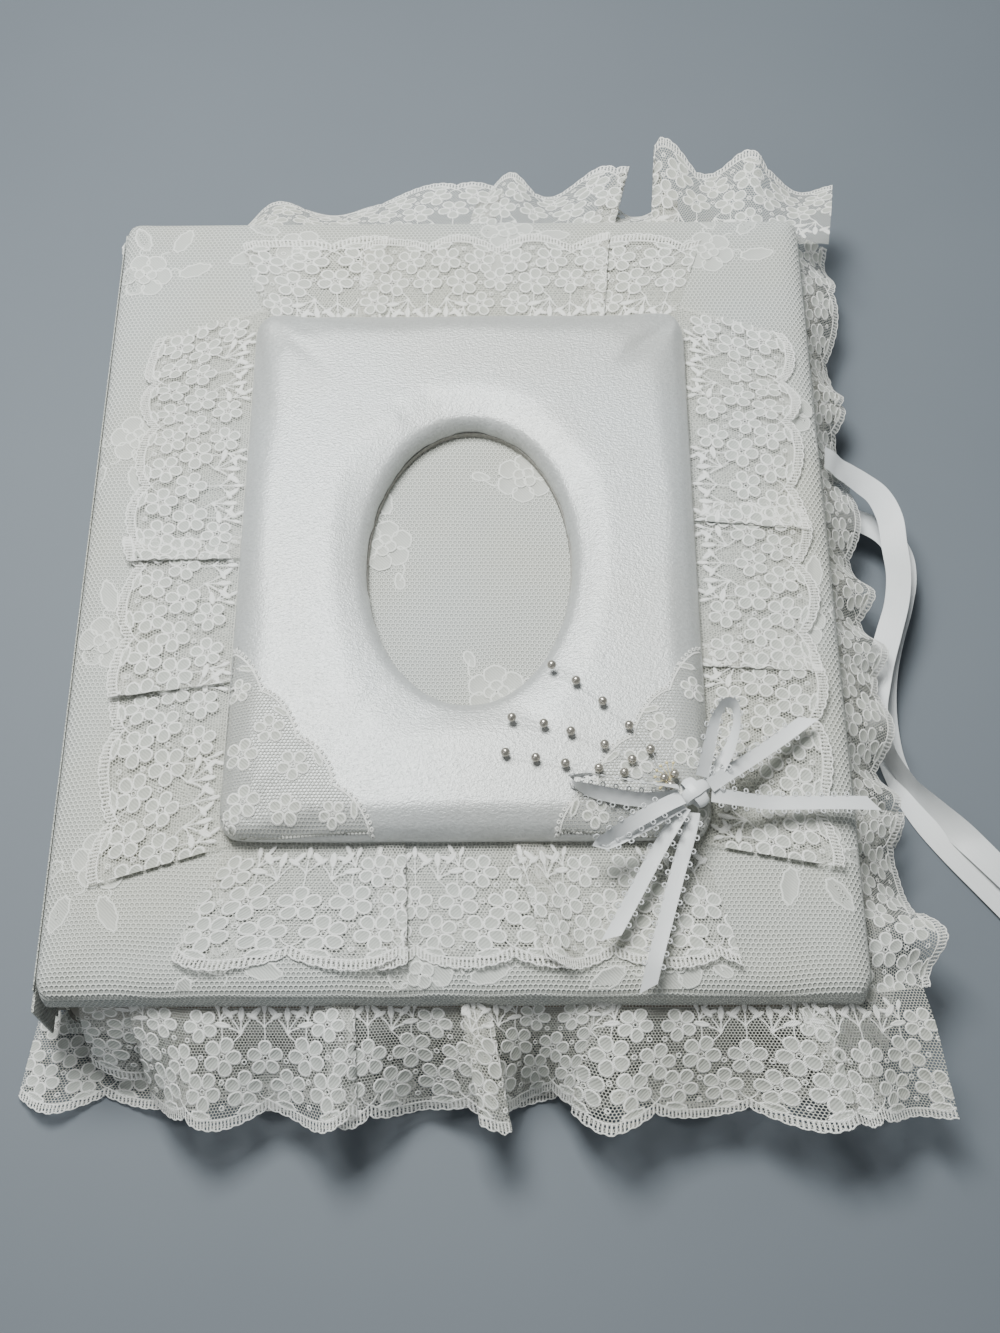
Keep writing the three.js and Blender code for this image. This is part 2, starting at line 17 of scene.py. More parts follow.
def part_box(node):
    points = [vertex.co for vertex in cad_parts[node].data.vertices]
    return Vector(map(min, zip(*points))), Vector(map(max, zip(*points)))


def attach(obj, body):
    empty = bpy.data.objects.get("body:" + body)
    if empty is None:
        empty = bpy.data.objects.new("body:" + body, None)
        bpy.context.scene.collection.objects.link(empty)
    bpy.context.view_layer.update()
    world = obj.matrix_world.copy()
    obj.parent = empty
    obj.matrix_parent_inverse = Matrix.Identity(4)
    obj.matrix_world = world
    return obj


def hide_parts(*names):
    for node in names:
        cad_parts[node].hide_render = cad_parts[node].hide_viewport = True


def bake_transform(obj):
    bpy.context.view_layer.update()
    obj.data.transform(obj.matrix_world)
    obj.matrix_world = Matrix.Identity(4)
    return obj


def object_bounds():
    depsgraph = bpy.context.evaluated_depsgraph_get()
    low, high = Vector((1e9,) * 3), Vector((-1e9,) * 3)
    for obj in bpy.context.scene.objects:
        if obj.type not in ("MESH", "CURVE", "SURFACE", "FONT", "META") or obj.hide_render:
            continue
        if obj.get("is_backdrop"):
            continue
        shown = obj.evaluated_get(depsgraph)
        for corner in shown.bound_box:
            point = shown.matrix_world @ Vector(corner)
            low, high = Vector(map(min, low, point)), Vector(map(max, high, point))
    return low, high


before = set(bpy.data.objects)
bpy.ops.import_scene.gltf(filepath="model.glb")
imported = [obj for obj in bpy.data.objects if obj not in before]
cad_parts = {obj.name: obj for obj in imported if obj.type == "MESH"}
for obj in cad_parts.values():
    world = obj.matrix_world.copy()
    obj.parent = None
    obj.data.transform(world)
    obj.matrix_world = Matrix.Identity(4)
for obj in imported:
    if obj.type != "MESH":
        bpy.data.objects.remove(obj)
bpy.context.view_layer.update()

MM = 0.001

# %% [markdown]
# ## Camera, table and light
# A camera is a place and a direction. Three unit vectors make its turn: where it looks, its right
# hand and, square to both, its up. A matrix holds them as columns, and the camera looks along
# minus Z, so the look vector goes in with its sign turned.

# %% Set up the camera
CAMERA_PLACE = (0.02004, -0.30309, 0.57183)
CAMERA_LOOK = (-0.00840, 0.44577, -0.89511)
CAMERA_RIGHT = (0.99995, -0.00083, -0.00980)
LENS_MM, SENSOR_MM = 46.17, 36.0


def put_in_scene(name, data):
    """Makes an object of a mesh, a lamp or a camera, and adds it to the scene."""
    thing = bpy.data.objects.new(name, data)
    bpy.context.scene.collection.objects.link(thing)
    return thing


def aim_camera():
    view = bpy.data.cameras.new("album_camera")
    view.lens, view.sensor_width = LENS_MM, SENSOR_MM
    camera = put_in_scene("album_camera", view)
    look = Vector(CAMERA_LOOK).normalized()
    up = Vector(CAMERA_RIGHT).cross(look).normalized()
    turn = Matrix((look.cross(up), up, -look)).transposed()
    camera.matrix_world = Matrix.Translation(CAMERA_PLACE) @ turn.to_4x4()
    bpy.context.scene.camera = camera
    return camera


camera = aim_camera()
print("camera stands", round(camera.location.length, 3), "m from the album's origin")

# %% [markdown]
# A small vocabulary keeps the materials short to write. `add` puts one shader node in a tree, and
# fills its sockets with numbers or with the output of another node. `new_finish` starts a material
# with its Principled shader, whose own sockets take every number that is the same all over. A
# pattern needs to know where it is: `object_place` answers in metres on the finished piece, and
# `flat_place` in millimetres on the flat cloth, from a UV map that we write further down.

# %% Helpers for shader nodes
def fill_sockets(tree, node, sockets):
    """Gives each named socket a plain value, or another node's output as a link."""
    for name, value in dict(sockets).items():
        if isinstance(value, bpy.types.NodeSocket):
            tree.links.new(value, node.inputs[name])
        else:
            node.inputs[name].default_value = value


def add(tree, kind, sockets=(), **settings):
    """Adds a shader node with its settings, and fills its sockets."""
    node = tree.nodes.new("ShaderNode" + kind)
    for name, value in settings.items():
        setattr(node, name, value)
    fill_sockets(tree, node, sockets)
    return node


def mix_colours(tree, share, low, high):
    """One colour where the share is 0, another where it is 1. The Mix node keeps a set of sockets
    for each kind of value, and its colour sockets are numbers 6 and 7 in and 2 out."""
    node = add(tree, "Mix", {"Factor": share, 6: low, 7: high}, data_type="RGBA")
    return node.outputs[2]


def mix_vectors(tree, share, low, high):
    """The same for vectors, whose sockets are numbers 4 and 5 in and 1 out."""
    node = add(tree, "Mix", {"Factor": share, 4: low, 5: high}, data_type="VECTOR")
    return node.outputs[1]


def object_place(tree):
    return add(tree, "TexCoord").outputs["Object"]


def flat_place(tree):
    return add(tree, "UVMap", uv_map="flat_mm").outputs["UV"]


def two_tones(tree, shader, share, low, high):
    """The base colour, as one tone where the share is 0 and another where it is 1."""
    tone = mix_colours(tree, share, (*low, 1), (*high, 1))
    tree.links.new(tone, shader.inputs["Base Color"])


def new_finish(name, **constants):
    """A material with one Principled shader. Returns the material, its tree and the shader."""
    material = bpy.data.materials.new(name)
    material.use_nodes = True
    tree = material.node_tree
    shader = tree.nodes["Principled BSDF"]
    for socket, value in constants.items():
        shader.inputs[socket.replace("_", " ")].default_value = value
    return material, tree, shader


def new_effect(name, inputs, outputs):
    """A shader node group, with its sockets given as (name, type, first value)."""
    group = bpy.data.node_groups.new(name, "ShaderNodeTree")
    for label, kind, start in inputs:
        socket = group.interface.new_socket(name=label, in_out="INPUT", socket_type=kind)
        if start is not None:
            socket.default_value = start
    for label, kind in outputs:
        group.interface.new_socket(name=label, in_out="OUTPUT", socket_type=kind)
    return group, group.nodes.new("NodeGroupInput"), group.nodes.new("NodeGroupOutput")


def use(tree, group, sockets=()):
    """Places a node group in a material with its own values."""
    node = tree.nodes.new("ShaderNodeGroup")
    node.node_tree = group
    fill_sockets(tree, node, sockets)
    return node


FLOAT, COLOUR, VECTOR = "NodeSocketFloat", "NodeSocketColor", "NodeSocketVector"

# %% [markdown]
# The table is plain, a cool grey-blue that lets the ivory lace look warm. The light is that of a
# room with a big soft window: one wide lamp above, a much weaker one from the foot side, and an
# even pale sky, so that no shadow has a hard edge.

# %% Make the table top and the lamps
TABLE_HALF_SIDE, TABLE_LEVEL = 2.0, -0.2 * MM


def mesh_of(drawn, name):
    """Turns a bmesh into a mesh, and frees it."""
    mesh = bpy.data.meshes.new(name)
    drawn.to_mesh(mesh)
    drawn.free()
    return mesh


def lay_table():
    top = bmesh.new()
    bmesh.ops.create_grid(top, x_segments=1, y_segments=1, size=TABLE_HALF_SIDE)
    bmesh.ops.translate(top, verts=top.verts, vec=(0, 0, TABLE_LEVEL))
    table = put_in_scene("table_top", mesh_of(top, "table_top"))
    material, tree, shader = new_finish("pale_table_finish", Roughness=0.62)
    cloud = add(tree, "TexNoise", {"Vector": object_place(tree), "Scale": 9.0, "Detail": 4.0})
    two_tones(tree, shader, cloud.outputs["Fac"], (0.110, 0.128, 0.150), (0.124, 0.143, 0.166))
    table.data.materials.append(material)
    table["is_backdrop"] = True


def hang_lamp(name, place, size, watts, colour):
    """A square soft lamp that faces the album."""
    lamp = bpy.data.lights.new(name, "AREA")
    lamp.size, lamp.energy, lamp.color = size, watts, colour
    holder = put_in_scene(name, lamp)
    turn = (-Vector(place)).to_track_quat("-Z", "Y").to_matrix().to_4x4()
    holder.matrix_world = Matrix.Translation(place) @ turn


def light_sky(colour, strength):
    sky = bpy.data.worlds.new("room_light")
    sky.use_nodes = True
    fill_sockets(sky.node_tree, sky.node_tree.nodes["Background"],
                 {"Color": (*colour, 1), "Strength": strength})
    bpy.context.scene.world = sky


lay_table()
hang_lamp("window_lamp", place=(-0.15, 0.27, 0.85), size=0.38, watts=15.5,
          colour=(0.97, 1.0, 0.98))
hang_lamp("foot_lamp", place=(-0.75, -0.55, 0.75), size=0.7, watts=1.4,
          colour=(0.95, 0.97, 1.0))
light_sky(colour=(0.92, 0.98, 1.0), strength=0.25)

# %% [markdown]
# ## Flat patterns, laid in place
# Ribbon, net and lace motifs are flat things that end up curved. Each is drawn flat, in
# millimetres: s runs along it, t across it, and h stands up from it. The flat places are kept as
# the UV map, so threads and holes follow the cloth, and then one function, `place`, lays every
# point in space. numpy arrays do this for all points at once.

# %% Helpers to finish a piece
def finish_piece(name, drawn, finishes, body=None):
    """Turns a bmesh into an object that rides on a body, with its materials in order. A piece
    with no body is left without one."""
    mesh = mesh_of(drawn, name)
    for finish in finishes:
        mesh.materials.append(finish)
    mesh.shade_smooth()
    piece = put_in_scene(name, mesh)
    if body:
        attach(piece, body)
    return piece


def keep_flat_places(drawn):
    """Writes each corner's flat place, in millimetres, to the UV map before the piece is laid."""
    layer = drawn.loops.layers.uv.new("flat_mm")
    for face in drawn.faces:
        for corner in face.loops:
            corner[layer].uv = corner.vert.co.xy


def lay(drawn, place):
    """Moves all points of a flat pattern to where `place` says, which answers in metres."""
    flat = np.array([v.co for v in drawn.verts])
    for vert, spot in zip(drawn.verts, place(flat)):
        vert.co = spot


def strip_box(node):
    """A CAD node's lowest and highest corners, in millimetres."""
    return [np.array(corner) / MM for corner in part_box(node)]


def cloth_grid(length, width, long_cells, cross_cells):
    """A flat piece of cloth: s from 0 to length, t from -width/2 to width/2."""
    cloth = bmesh.new()
    bmesh.ops.create_grid(cloth, x_segments=long_cells, y_segments=cross_cells, size=0.5)
    bmesh.ops.translate(cloth, verts=cloth.verts, vec=(0.5, 0, 0))
    bmesh.ops.scale(cloth, verts=cloth.verts, vec=(length, width, 1))
    return cloth


# %% [markdown]
# ## The finishes
# Three effects come back in many materials, so each is a node group. `cloth_grain` is the fine
# crepe surface of the satin. `hexagon_net` works out, for any flat place, how near it is to the
# thread of a honeycomb net: two staggered grids of cells are compared, the nearer centre wins, and
# the distance to that cell's border says thread or hole. `old_ivory` lets the white go a little
# warmer in slow patches, as cotton and satin do with the years.

# %% Build the shared effects
def make_cloth_grain():
    group, given, result = new_effect(
        "cloth_grain", [("Place", VECTOR, None), ("Grains per metre", FLOAT, 1500.0)],
        [("Height", FLOAT), ("Shade", FLOAT)])
    grain = add(group, "TexNoise", {"Vector": given.outputs["Place"], "Detail": 2.0,
                                    "Scale": given.outputs["Grains per metre"]})
    rows = add(group, "VectorMath", {0: given.outputs["Place"], 1: (1.0, 1.6, 1.0)},
               operation="MULTIPLY")
    slubs = add(group, "TexNoise", {"Vector": rows.outputs[0], "Detail": 1.0, "Scale": 760.0})
    both = add(group, "Math", {0: grain.outputs["Fac"], 1: slubs.outputs["Fac"]},
               operation="ADD")
    shade = add(group, "MapRange", {"Value": both.outputs[0], "From Min": 0.65, "From Max": 1.35})
    fill_sockets(group, result, {"Height": both.outputs[0], "Shade": shade.outputs[0]})
    return group


def make_hexagon_net():
    group, given, result = new_effect(
        "hexagon_net",
        [("Flat place", VECTOR, None), ("Cell", FLOAT, 1.0), ("Thread", FLOAT, 0.15)],
        [("Thread mask", FLOAT), ("Height", FLOAT)])
    step = (1.0, math.sqrt(3), 1.0)
    half = tuple(side / 2 for side in step)
    per_cell = add(group, "Math", {0: 1.0, 1: given.outputs["Cell"]}, operation="DIVIDE")
    even = add(group, "VectorMath", {0: given.outputs["Flat place"], "Scale": per_cell.outputs[0]},
               operation="SCALE")
    moved = add(group, "VectorMath", {0: even.outputs[0], 1: half}, operation="SUBTRACT")
    near = []
    for start in (even, moved):
        inside = add(group, "VectorMath", {0: start.outputs[0], 1: step, 2: (0, 0, 0)},
                     operation="WRAP")
        centred = add(group, "VectorMath", {0: inside.outputs[0], 1: half}, operation="SUBTRACT")
        flat = add(group, "VectorMath", {0: centred.outputs[0], 1: (1, 1, 0)}, operation="MULTIPLY")
        near.append(flat)
    reach = [add(group, "VectorMath", {0: n.outputs[0], 1: n.outputs[0]}, operation="DOT_PRODUCT")
             for n in near]
    second = add(group, "Math", {0: reach[1].outputs["Value"], 1: reach[0].outputs["Value"]},
                 operation="LESS_THAN")
    from_centre = mix_vectors(group, second.outputs[0], near[0].outputs[0], near[1].outputs[0])
    folded = add(group, "VectorMath", {0: from_centre}, operation="ABSOLUTE")
    slanted = add(group, "VectorMath", {0: folded.outputs[0], 1: half}, operation="DOT_PRODUCT")
    sideways = add(group, "SeparateXYZ", {0: folded.outputs[0]})
    border = add(group, "Math", {0: slanted.outputs["Value"], 1: sideways.outputs["X"]},
                 operation="MAXIMUM")
    away = add(group, "Math", {0: 0.5, 1: border.outputs[0]}, operation="SUBTRACT")
    soft = add(group, "Math", {0: given.outputs["Thread"], 1: 0.05}, operation="ADD")
    mask = add(group, "MapRange", {"Value": away.outputs[0], "From Min": given.outputs["Thread"],
                                   "From Max": soft.outputs[0], "To Min": 1.0, "To Max": 0.0})
    height = add(group, "MapRange", {"Value": away.outputs[0], "From Min": 0.0, "From Max": 0.3,
                                     "To Min": 1.0, "To Max": 0.0}, interpolation_type="SMOOTHSTEP")
    fill_sockets(group, result, {"Thread mask": mask.outputs[0], "Height": height.outputs[0]})
    return group


def make_old_ivory():
    group, given, result = new_effect(
        "old_ivory", [("Place", VECTOR, None), ("Fresh", COLOUR, None), ("Aged", COLOUR, None),
                      ("Patches per metre", FLOAT, 14.0)], [("Colour", COLOUR)])
    patch = add(group, "TexNoise", {"Vector": given.outputs["Place"], "Detail": 3.0,
                                    "Scale": given.outputs["Patches per metre"]})
    spread = add(group, "MapRange", {"Value": patch.outputs["Fac"], "From Min": 0.35,
                                     "From Max": 0.65})
    mixed = mix_colours(group, spread.outputs[0], given.outputs["Fresh"], given.outputs["Aged"])
    group.links.new(mixed, result.inputs["Colour"])
    return group


CLOTH_GRAIN = make_cloth_grain()
HEXAGON_NET = make_hexagon_net()
OLD_IVORY = make_old_ivory()
print("shared effects:", [g.name for g in bpy.data.node_groups])

# %% [markdown]
# Each finish is then a short recipe. A height from an effect goes through a Bump node, which tilts
# the light at grains far too small to model. Satin and ribbon are the smoother cloths, and thread
# and net are rough. The net's holes are made with Alpha, so what lies under the lace shows through.

# %% Mix the cloth finishes
def bump(tree, shader, height, depth_mm, strength=1.0):
    """Tilts the surface's normal by a height pattern that is so many millimetres deep."""
    node = add(tree, "Bump", {"Height": height, "Distance": depth_mm * MM, "Strength": strength})
    tree.links.new(node.outputs["Normal"], shader.inputs["Normal"])


def ivory(tree, where, fresh, aged):
    """The slow patchy colour of old white cloth."""
    node = use(tree, OLD_IVORY, {"Place": where, "Fresh": (*fresh, 1), "Aged": (*aged, 1)})
    return node.outputs["Colour"]


def shade_by(tree, colour, factor, darkest):
    """Darkens a colour where the factor is low, down to `darkest` of itself."""
    share = add(tree, "MapRange", {"Value": factor, "To Min": darkest, "To Max": 1.0})
    node = add(tree, "VectorMath", {0: colour, "Scale": share.outputs[0]}, operation="SCALE")
    return node.outputs[0]


def mix_crepe_satin():
    material, tree, shader = new_finish("crepe_satin", Roughness=0.37, Metallic=0.22,
                                        Sheen_Weight=0.10, Sheen_Roughness=0.4)
    where = object_place(tree)
    grain = use(tree, CLOTH_GRAIN, {"Place": where, "Grains per metre": 1900.0})
    colour = ivory(tree, where, (0.54, 0.56, 0.565), (0.51, 0.515, 0.50))
    tree.links.new(shade_by(tree, colour, grain.outputs["Shade"], 0.78),
                   shader.inputs["Base Color"])
    bump(tree, shader, grain.outputs["Height"], 0.15)
    return material


def wrap_round(tree, where):
    """The flat place, in mm, of cloth wrapped round a slab: x and y on its faces, and on its
    sides the way round and the height, chosen by where the surface faces."""
    faces = add(tree, "SeparateXYZ", {0: add(tree, "TexCoord").outputs["Normal"]})
    level = add(tree, "Math", {0: faces.outputs["Z"]}, operation="ABSOLUTE")
    on_side = add(tree, "Math", {0: level.outputs[0], 1: 0.6}, operation="LESS_THAN")
    spot = add(tree, "SeparateXYZ", {0: where})
    round_about = add(tree, "Math", {0: spot.outputs["X"], 1: spot.outputs["Y"]}, operation="ADD")
    side = add(tree, "CombineXYZ", {"X": round_about.outputs[0], "Y": spot.outputs["Z"]})
    chosen = mix_vectors(tree, on_side.outputs[0], where, side.outputs[0])
    in_mm = add(tree, "VectorMath", {0: chosen, "Scale": 1 / MM}, operation="SCALE")
    return in_mm.outputs[0]


def mix_lace_over_satin():
    material, tree, shader = new_finish("lace_over_satin", Roughness=0.50, Sheen_Weight=0.2)
    where = object_place(tree)
    sway = add(tree, "TexNoise", {"Vector": where, "Scale": 30.0, "Detail": 1.0})
    swayed = add(tree, "VectorMath", {0: sway.outputs["Color"], 1: (2.4, 2.4, 0),
                                      2: wrap_round(tree, where)}, operation="MULTIPLY_ADD")
    net = use(tree, HEXAGON_NET, {"Flat place": swayed.outputs[0], "Cell": 1.6, "Thread": 0.12})
    grain = use(tree, CLOTH_GRAIN, {"Place": where, "Grains per metre": 1500.0})
    satin = shade_by(tree, ivory(tree, where, (0.42, 0.44, 0.425), (0.44, 0.44, 0.385)),
                     grain.outputs["Shade"], 0.85)
    thread = ivory(tree, where, (0.76, 0.78, 0.75), (0.76, 0.76, 0.69))
    colour = mix_colours(tree, net.outputs["Thread mask"], satin, thread)
    tree.links.new(colour, shader.inputs["Base Color"])
    bump(tree, shader, net.outputs["Height"], 0.45)
    return material


def mix_lace_net(name, cell, thread, fresh, aged):
    material, tree, shader = new_finish(name, Roughness=0.85)
    flat = flat_place(tree)
    net = use(tree, HEXAGON_NET, {"Flat place": flat, "Cell": cell, "Thread": thread})
    where = object_place(tree)
    tree.links.new(ivory(tree, where, fresh, aged), shader.inputs["Base Color"])
    tree.links.new(net.outputs["Thread mask"], shader.inputs["Alpha"])
    bump(tree, shader, net.outputs["Height"], 0.15)
    return material


def mix_lace_thread(name, fresh, aged, twists):
    """Cotton thread: fine slanting twists follow the flat pattern."""
    material, tree, shader = new_finish(name, Roughness=0.8, Sheen_Weight=0.15)
    flat = flat_place(tree)
    twist = add(tree, "TexWave", {"Vector": flat, "Scale": twists, "Distortion": 1.5,
                                  "Detail": 1.0}, bands_direction="DIAGONAL")
    where = object_place(tree)
    colour = shade_by(tree, ivory(tree, where, fresh, aged), twist.outputs["Fac"], 0.84)
    tree.links.new(colour, shader.inputs["Base Color"])
    bump(tree, shader, twist.outputs["Fac"], 0.10)
    return material


CREPE_SATIN = mix_crepe_satin()
LACE_OVER_SATIN = mix_lace_over_satin()
LACE_NET = mix_lace_net("lace_net", 1.05, 0.075, (0.64, 0.64, 0.60), (0.61, 0.60, 0.53))
CORNER_NET = mix_lace_net("corner_net", 1.25, 0.11, (0.47, 0.48, 0.465), (0.46, 0.46, 0.42))
LACE_CORD = mix_lace_thread("lace_cord", (0.92, 0.92, 0.90), (0.89, 0.88, 0.83), 0.9)
LACE_FILL = mix_lace_thread("lace_fill", (0.50, 0.52, 0.49), (0.48, 0.485, 0.43), 0.5)
FAINT_CORD = mix_lace_thread("faint_lace_cord", (0.86, 0.87, 0.84), (0.84, 0.84, 0.78), 0.9)
FAINT_FILL = mix_lace_thread("faint_lace_fill", (0.56, 0.58, 0.55), (0.55, 0.55, 0.50), 0.55)


def mix_ribbon_satin():
    """Narrow ribbon: fine ribs across it, and long strands along it."""
    material, tree, shader = new_finish("ribbon_satin", Roughness=0.32, Sheen_Weight=0.3,
                                        Sheen_Roughness=0.35)
    flat = flat_place(tree)
    ribs = add(tree, "TexWave", {"Vector": flat, "Scale": 1.6, "Distortion": 0.4})
    drawn_out = add(tree, "VectorMath", {0: flat, 1: (0.12, 5.0, 1.0)}, operation="MULTIPLY")
    strands = add(tree, "TexNoise", {"Vector": drawn_out.outputs[0], "Scale": 1.0, "Detail": 2.0})
    where = object_place(tree)
    colour = shade_by(tree, ivory(tree, where, (0.76, 0.78, 0.80), (0.74, 0.75, 0.75)),
                      strands.outputs["Fac"], 0.86)
    tree.links.new(colour, shader.inputs["Base Color"])
    relief = add(tree, "Math", {0: ribs.outputs["Fac"], 1: 0.35, 2: strands.outputs["Fac"]},
                 operation="MULTIPLY_ADD")
    bump(tree, shader, relief.outputs[0], 0.05)
    return material


RIBBON_SATIN = mix_ribbon_satin()
print("finishes so far:", [material.name for material in bpy.data.materials])

# %% [markdown]
# ## Ribbons: seven on the bow, two ties at the fore-edge
# A ribbon is a strip that follows a line but may roll about it. The line is a smooth curve through
# a few given points, the same that the CAD tube follows. At each place along it the
# ribbon's width leans by an angle: 0 degrees stands on edge, 90 lies flat with its face up. That
# one number is enough for a bow's loops, a fold and a twist.

# %% Helpers for a ribbon's line
def smooth_line(points, per_span=14):
    """A centripetal Catmull-Rom curve through the points, and how far each spot is along it."""
    p = np.array(points, float)
    p = np.vstack([2 * p[0] - p[1], p, 2 * p[-1] - p[-2]])
    spots = []
    for a, b, c, d in zip(p, p[1:], p[2:], p[3:]):
        gap = [np.linalg.norm(far - near) ** 0.5 for near, far in ((a, b), (b, c), (c, d))]
        k0, k1, k2, k3 = np.cumsum([0.0, *gap])
        t = np.linspace(k1, k2, per_span, endpoint=False)[:, None]
        ab = ((k1 - t) * a + (t - k0) * b) / (k1 - k0)
        bc = ((k2 - t) * b + (t - k1) * c) / (k2 - k1)
        cd = ((k3 - t) * c + (t - k2) * d) / (k3 - k2)
        left = ((k2 - t) * ab + (t - k0) * bc) / (k2 - k0)
        right = ((k3 - t) * bc + (t - k1) * cd) / (k3 - k1)
        spots.append(((k2 - t) * left + (t - k1) * right) / (k2 - k1))
    line = np.vstack([*spots, p[-2][None]])
    travelled = np.concatenate([[0.0], np.cumsum(np.linalg.norm(np.diff(line, axis=0), axis=1))])
    return line, travelled


def unit(rows):
    return rows / np.linalg.norm(rows, axis=1)[:, None]


def along_ribbon(points, leans):
    """Returns the function that lays a flat ribbon along the points, and the ribbon's length."""
    line, travelled = smooth_line(points)
    ahead = unit(np.gradient(line, travelled, axis=0))
    up = unit(np.array([0, 0, 1.0]) - ahead * ahead[:, 2:3])
    aside = np.cross(up, ahead)
    lean = np.radians(np.interp(travelled / travelled[-1], np.linspace(0, 1, len(leans)), leans))
    across = up * np.cos(lean)[:, None] + aside * np.sin(lean)[:, None]
    face = np.cross(ahead, across)

    def place(flat):
        s = flat[:, 0] * MM
        centre, width, relief, onward = [
            np.stack([np.interp(s, travelled, part[:, axis]) for axis in range(3)], 1)
            for part in (line, across, face, ahead)]
        past_end = (s - np.clip(s, 0, travelled[-1]))[:, None]
        return centre + onward * past_end + width * flat[:, 1:2] * MM + relief * flat[:, 2:3] * MM

    return place, travelled[-1]


# %% [markdown]
# The bow's ribbon has picots, tiny thread rings along both edges. One ring is spun from a small
# circle and copied, on the flat ribbon, before the whole is laid along its line. The free ends are
# cut on the slant, which on the flat pattern is only a shear near the end.

# %% Make a ribbon
PICOT_STEP, PICOT_RADIUS, PICOT_THREAD = 4.3, 0.75, 0.24
RIBBON_CELL, SLANTED_END, RIBBON_CROWN = 1.3, 14.0, 0.5


def make_picot():
    """One thread ring, flat on the ribbon's plane, as a mesh in millimetres."""
    ring = bmesh.new()
    start = bmesh.ops.create_circle(ring, segments=4, radius=PICOT_THREAD)["verts"]
    bmesh.ops.rotate(ring, verts=start, cent=(0, 0, 0), matrix=Matrix.Rotation(math.pi / 2, 3, "X"))
    bmesh.ops.translate(ring, verts=start, vec=(PICOT_RADIUS, 0, 0))
    bmesh.ops.spin(ring, geom=ring.verts[:] + ring.edges[:], cent=(0, 0, 0), axis=(0, 0, 1),
                   angle=math.tau, steps=7, use_merge=True)
    bmesh.ops.recalc_face_normals(ring, faces=ring.faces)
    return mesh_of(ring, "picot")


PICOT = make_picot()


def add_copy(drawn, mesh, move):
    """Adds a copy of a mesh to a drawing, moved on the flat."""
    before = len(drawn.verts)
    drawn.from_mesh(mesh)
    drawn.verts.ensure_lookup_table()
    bmesh.ops.translate(drawn, verts=drawn.verts[before:], vec=move)


def make_ribbon(name, body, points, leans, width, picots, slant=0.0):
    """A ribbon whose far end is cut on the slant. Returns the piece and its length in metres."""
    place, length = along_ribbon(points, leans)
    length_mm = length / MM
    ribbon = cloth_grid(length_mm, width, max(24, int(length_mm / RIBBON_CELL)), 6)
    for vert in ribbon.verts:
        end = max(0.0, 1 - (length_mm - vert.co.x) / SLANTED_END)
        vert.co.x -= vert.co.y * slant * end
        vert.co.z = RIBBON_CROWN * (vert.co.y / width) ** 2
    if picots:
        rings = int(length_mm / PICOT_STEP) - 1
        for k in range(rings):
            for side in (-1, 1):
                edge = side * (width / 2 + PICOT_RADIUS * 0.8)
                add_copy(ribbon, PICOT, ((k + 0.8) * PICOT_STEP, edge, 0.1))
    keep_flat_places(ribbon)
    lay(ribbon, place)
    piece = finish_piece(name, ribbon, [RIBBON_SATIN], body)
    return piece, length


# %% [markdown]
# The nine routes, in metres. Each starts where the ribbon leaves the knot or the cover. A loop
# comes back into the knot, and a tail, like each tie, ends in a slanting cut.

# %% Make the bow's seven ribbons and the two ties
BOW_ROUTES = {
    "bow_loop_up": [(0.080, -0.0904, 0.065), (0.0824, -0.0815, 0.0682), (0.085, -0.072, 0.069),
                    (0.0886, -0.066, 0.069), (0.0916, -0.0666, 0.068), (0.0924, -0.071, 0.0666),
                    (0.090, -0.0795, 0.0646), (0.0856, -0.087, 0.0626), (0.0826, -0.0914, 0.0616)],
    "bow_loop_left": [(0.0724, -0.0964, 0.0624), (0.062, -0.0972, 0.0622),
                      (0.050, -0.0954, 0.0622), (0.0415, -0.0928, 0.0624),
                      (0.0388, -0.0908, 0.0646), (0.042, -0.0904, 0.0674),
                      (0.050, -0.0914, 0.068), (0.062, -0.0934, 0.0676), (0.0722, -0.0942, 0.066)],
    "bow_loop_foot": [(0.0734, -0.0988, 0.0636), (0.066, -0.1036, 0.064), (0.056, -0.109, 0.0628),
                      (0.0484, -0.1124, 0.061), (0.0464, -0.1128, 0.0626),
                      (0.050, -0.1106, 0.0652), (0.058, -0.1064, 0.067), (0.067, -0.1012, 0.0668),
                      (0.0732, -0.0978, 0.0656)],
    "bow_tail_up": [(0.0824, -0.0934, 0.0644), (0.088, -0.089, 0.063), (0.097, -0.082, 0.0596),
                    (0.107, -0.074, 0.0564), (0.1176, -0.0656, 0.0552)],
    "bow_tail_fore": [(0.083, -0.0958, 0.0628), (0.090, -0.0962, 0.061), (0.101, -0.0962, 0.057),
                      (0.113, -0.0958, 0.0554), (0.126, -0.0952, 0.054), (0.137, -0.0948, 0.0524)],
    "bow_tail_left": [(0.0742, -0.100, 0.0624), (0.0702, -0.106, 0.0616), (0.064, -0.1156, 0.0576),
                      (0.057, -0.128, 0.0552), (0.050, -0.1406, 0.0546)],
    "bow_tail_foot": [(0.0772, -0.1012, 0.0608), (0.0756, -0.1074, 0.0596),
                      (0.072, -0.1184, 0.0562), (0.0676, -0.1334, 0.0548),
                      (0.0636, -0.147, 0.0542), (0.0612, -0.156, 0.0512)],
}
BOW_LEANS = {
    "bow_loop_up": [62, 60, 50, 20, 20, 40, 70, 90],
    "bow_loop_left": [-60, -62, -62, -50, 0, -20, -28, -28, -40],
    "bow_loop_foot": [90, 84, 80, 60, 30, 60, 84, 90],
    "bow_tail_up": [70, 80, 90, 90, 96],
    "bow_tail_fore": [80, 86, 90, 94, 90],
    "bow_tail_left": [70, 80, 90, 90, 86],
    "bow_tail_foot": [60, 86, 90, 90, 94],
}
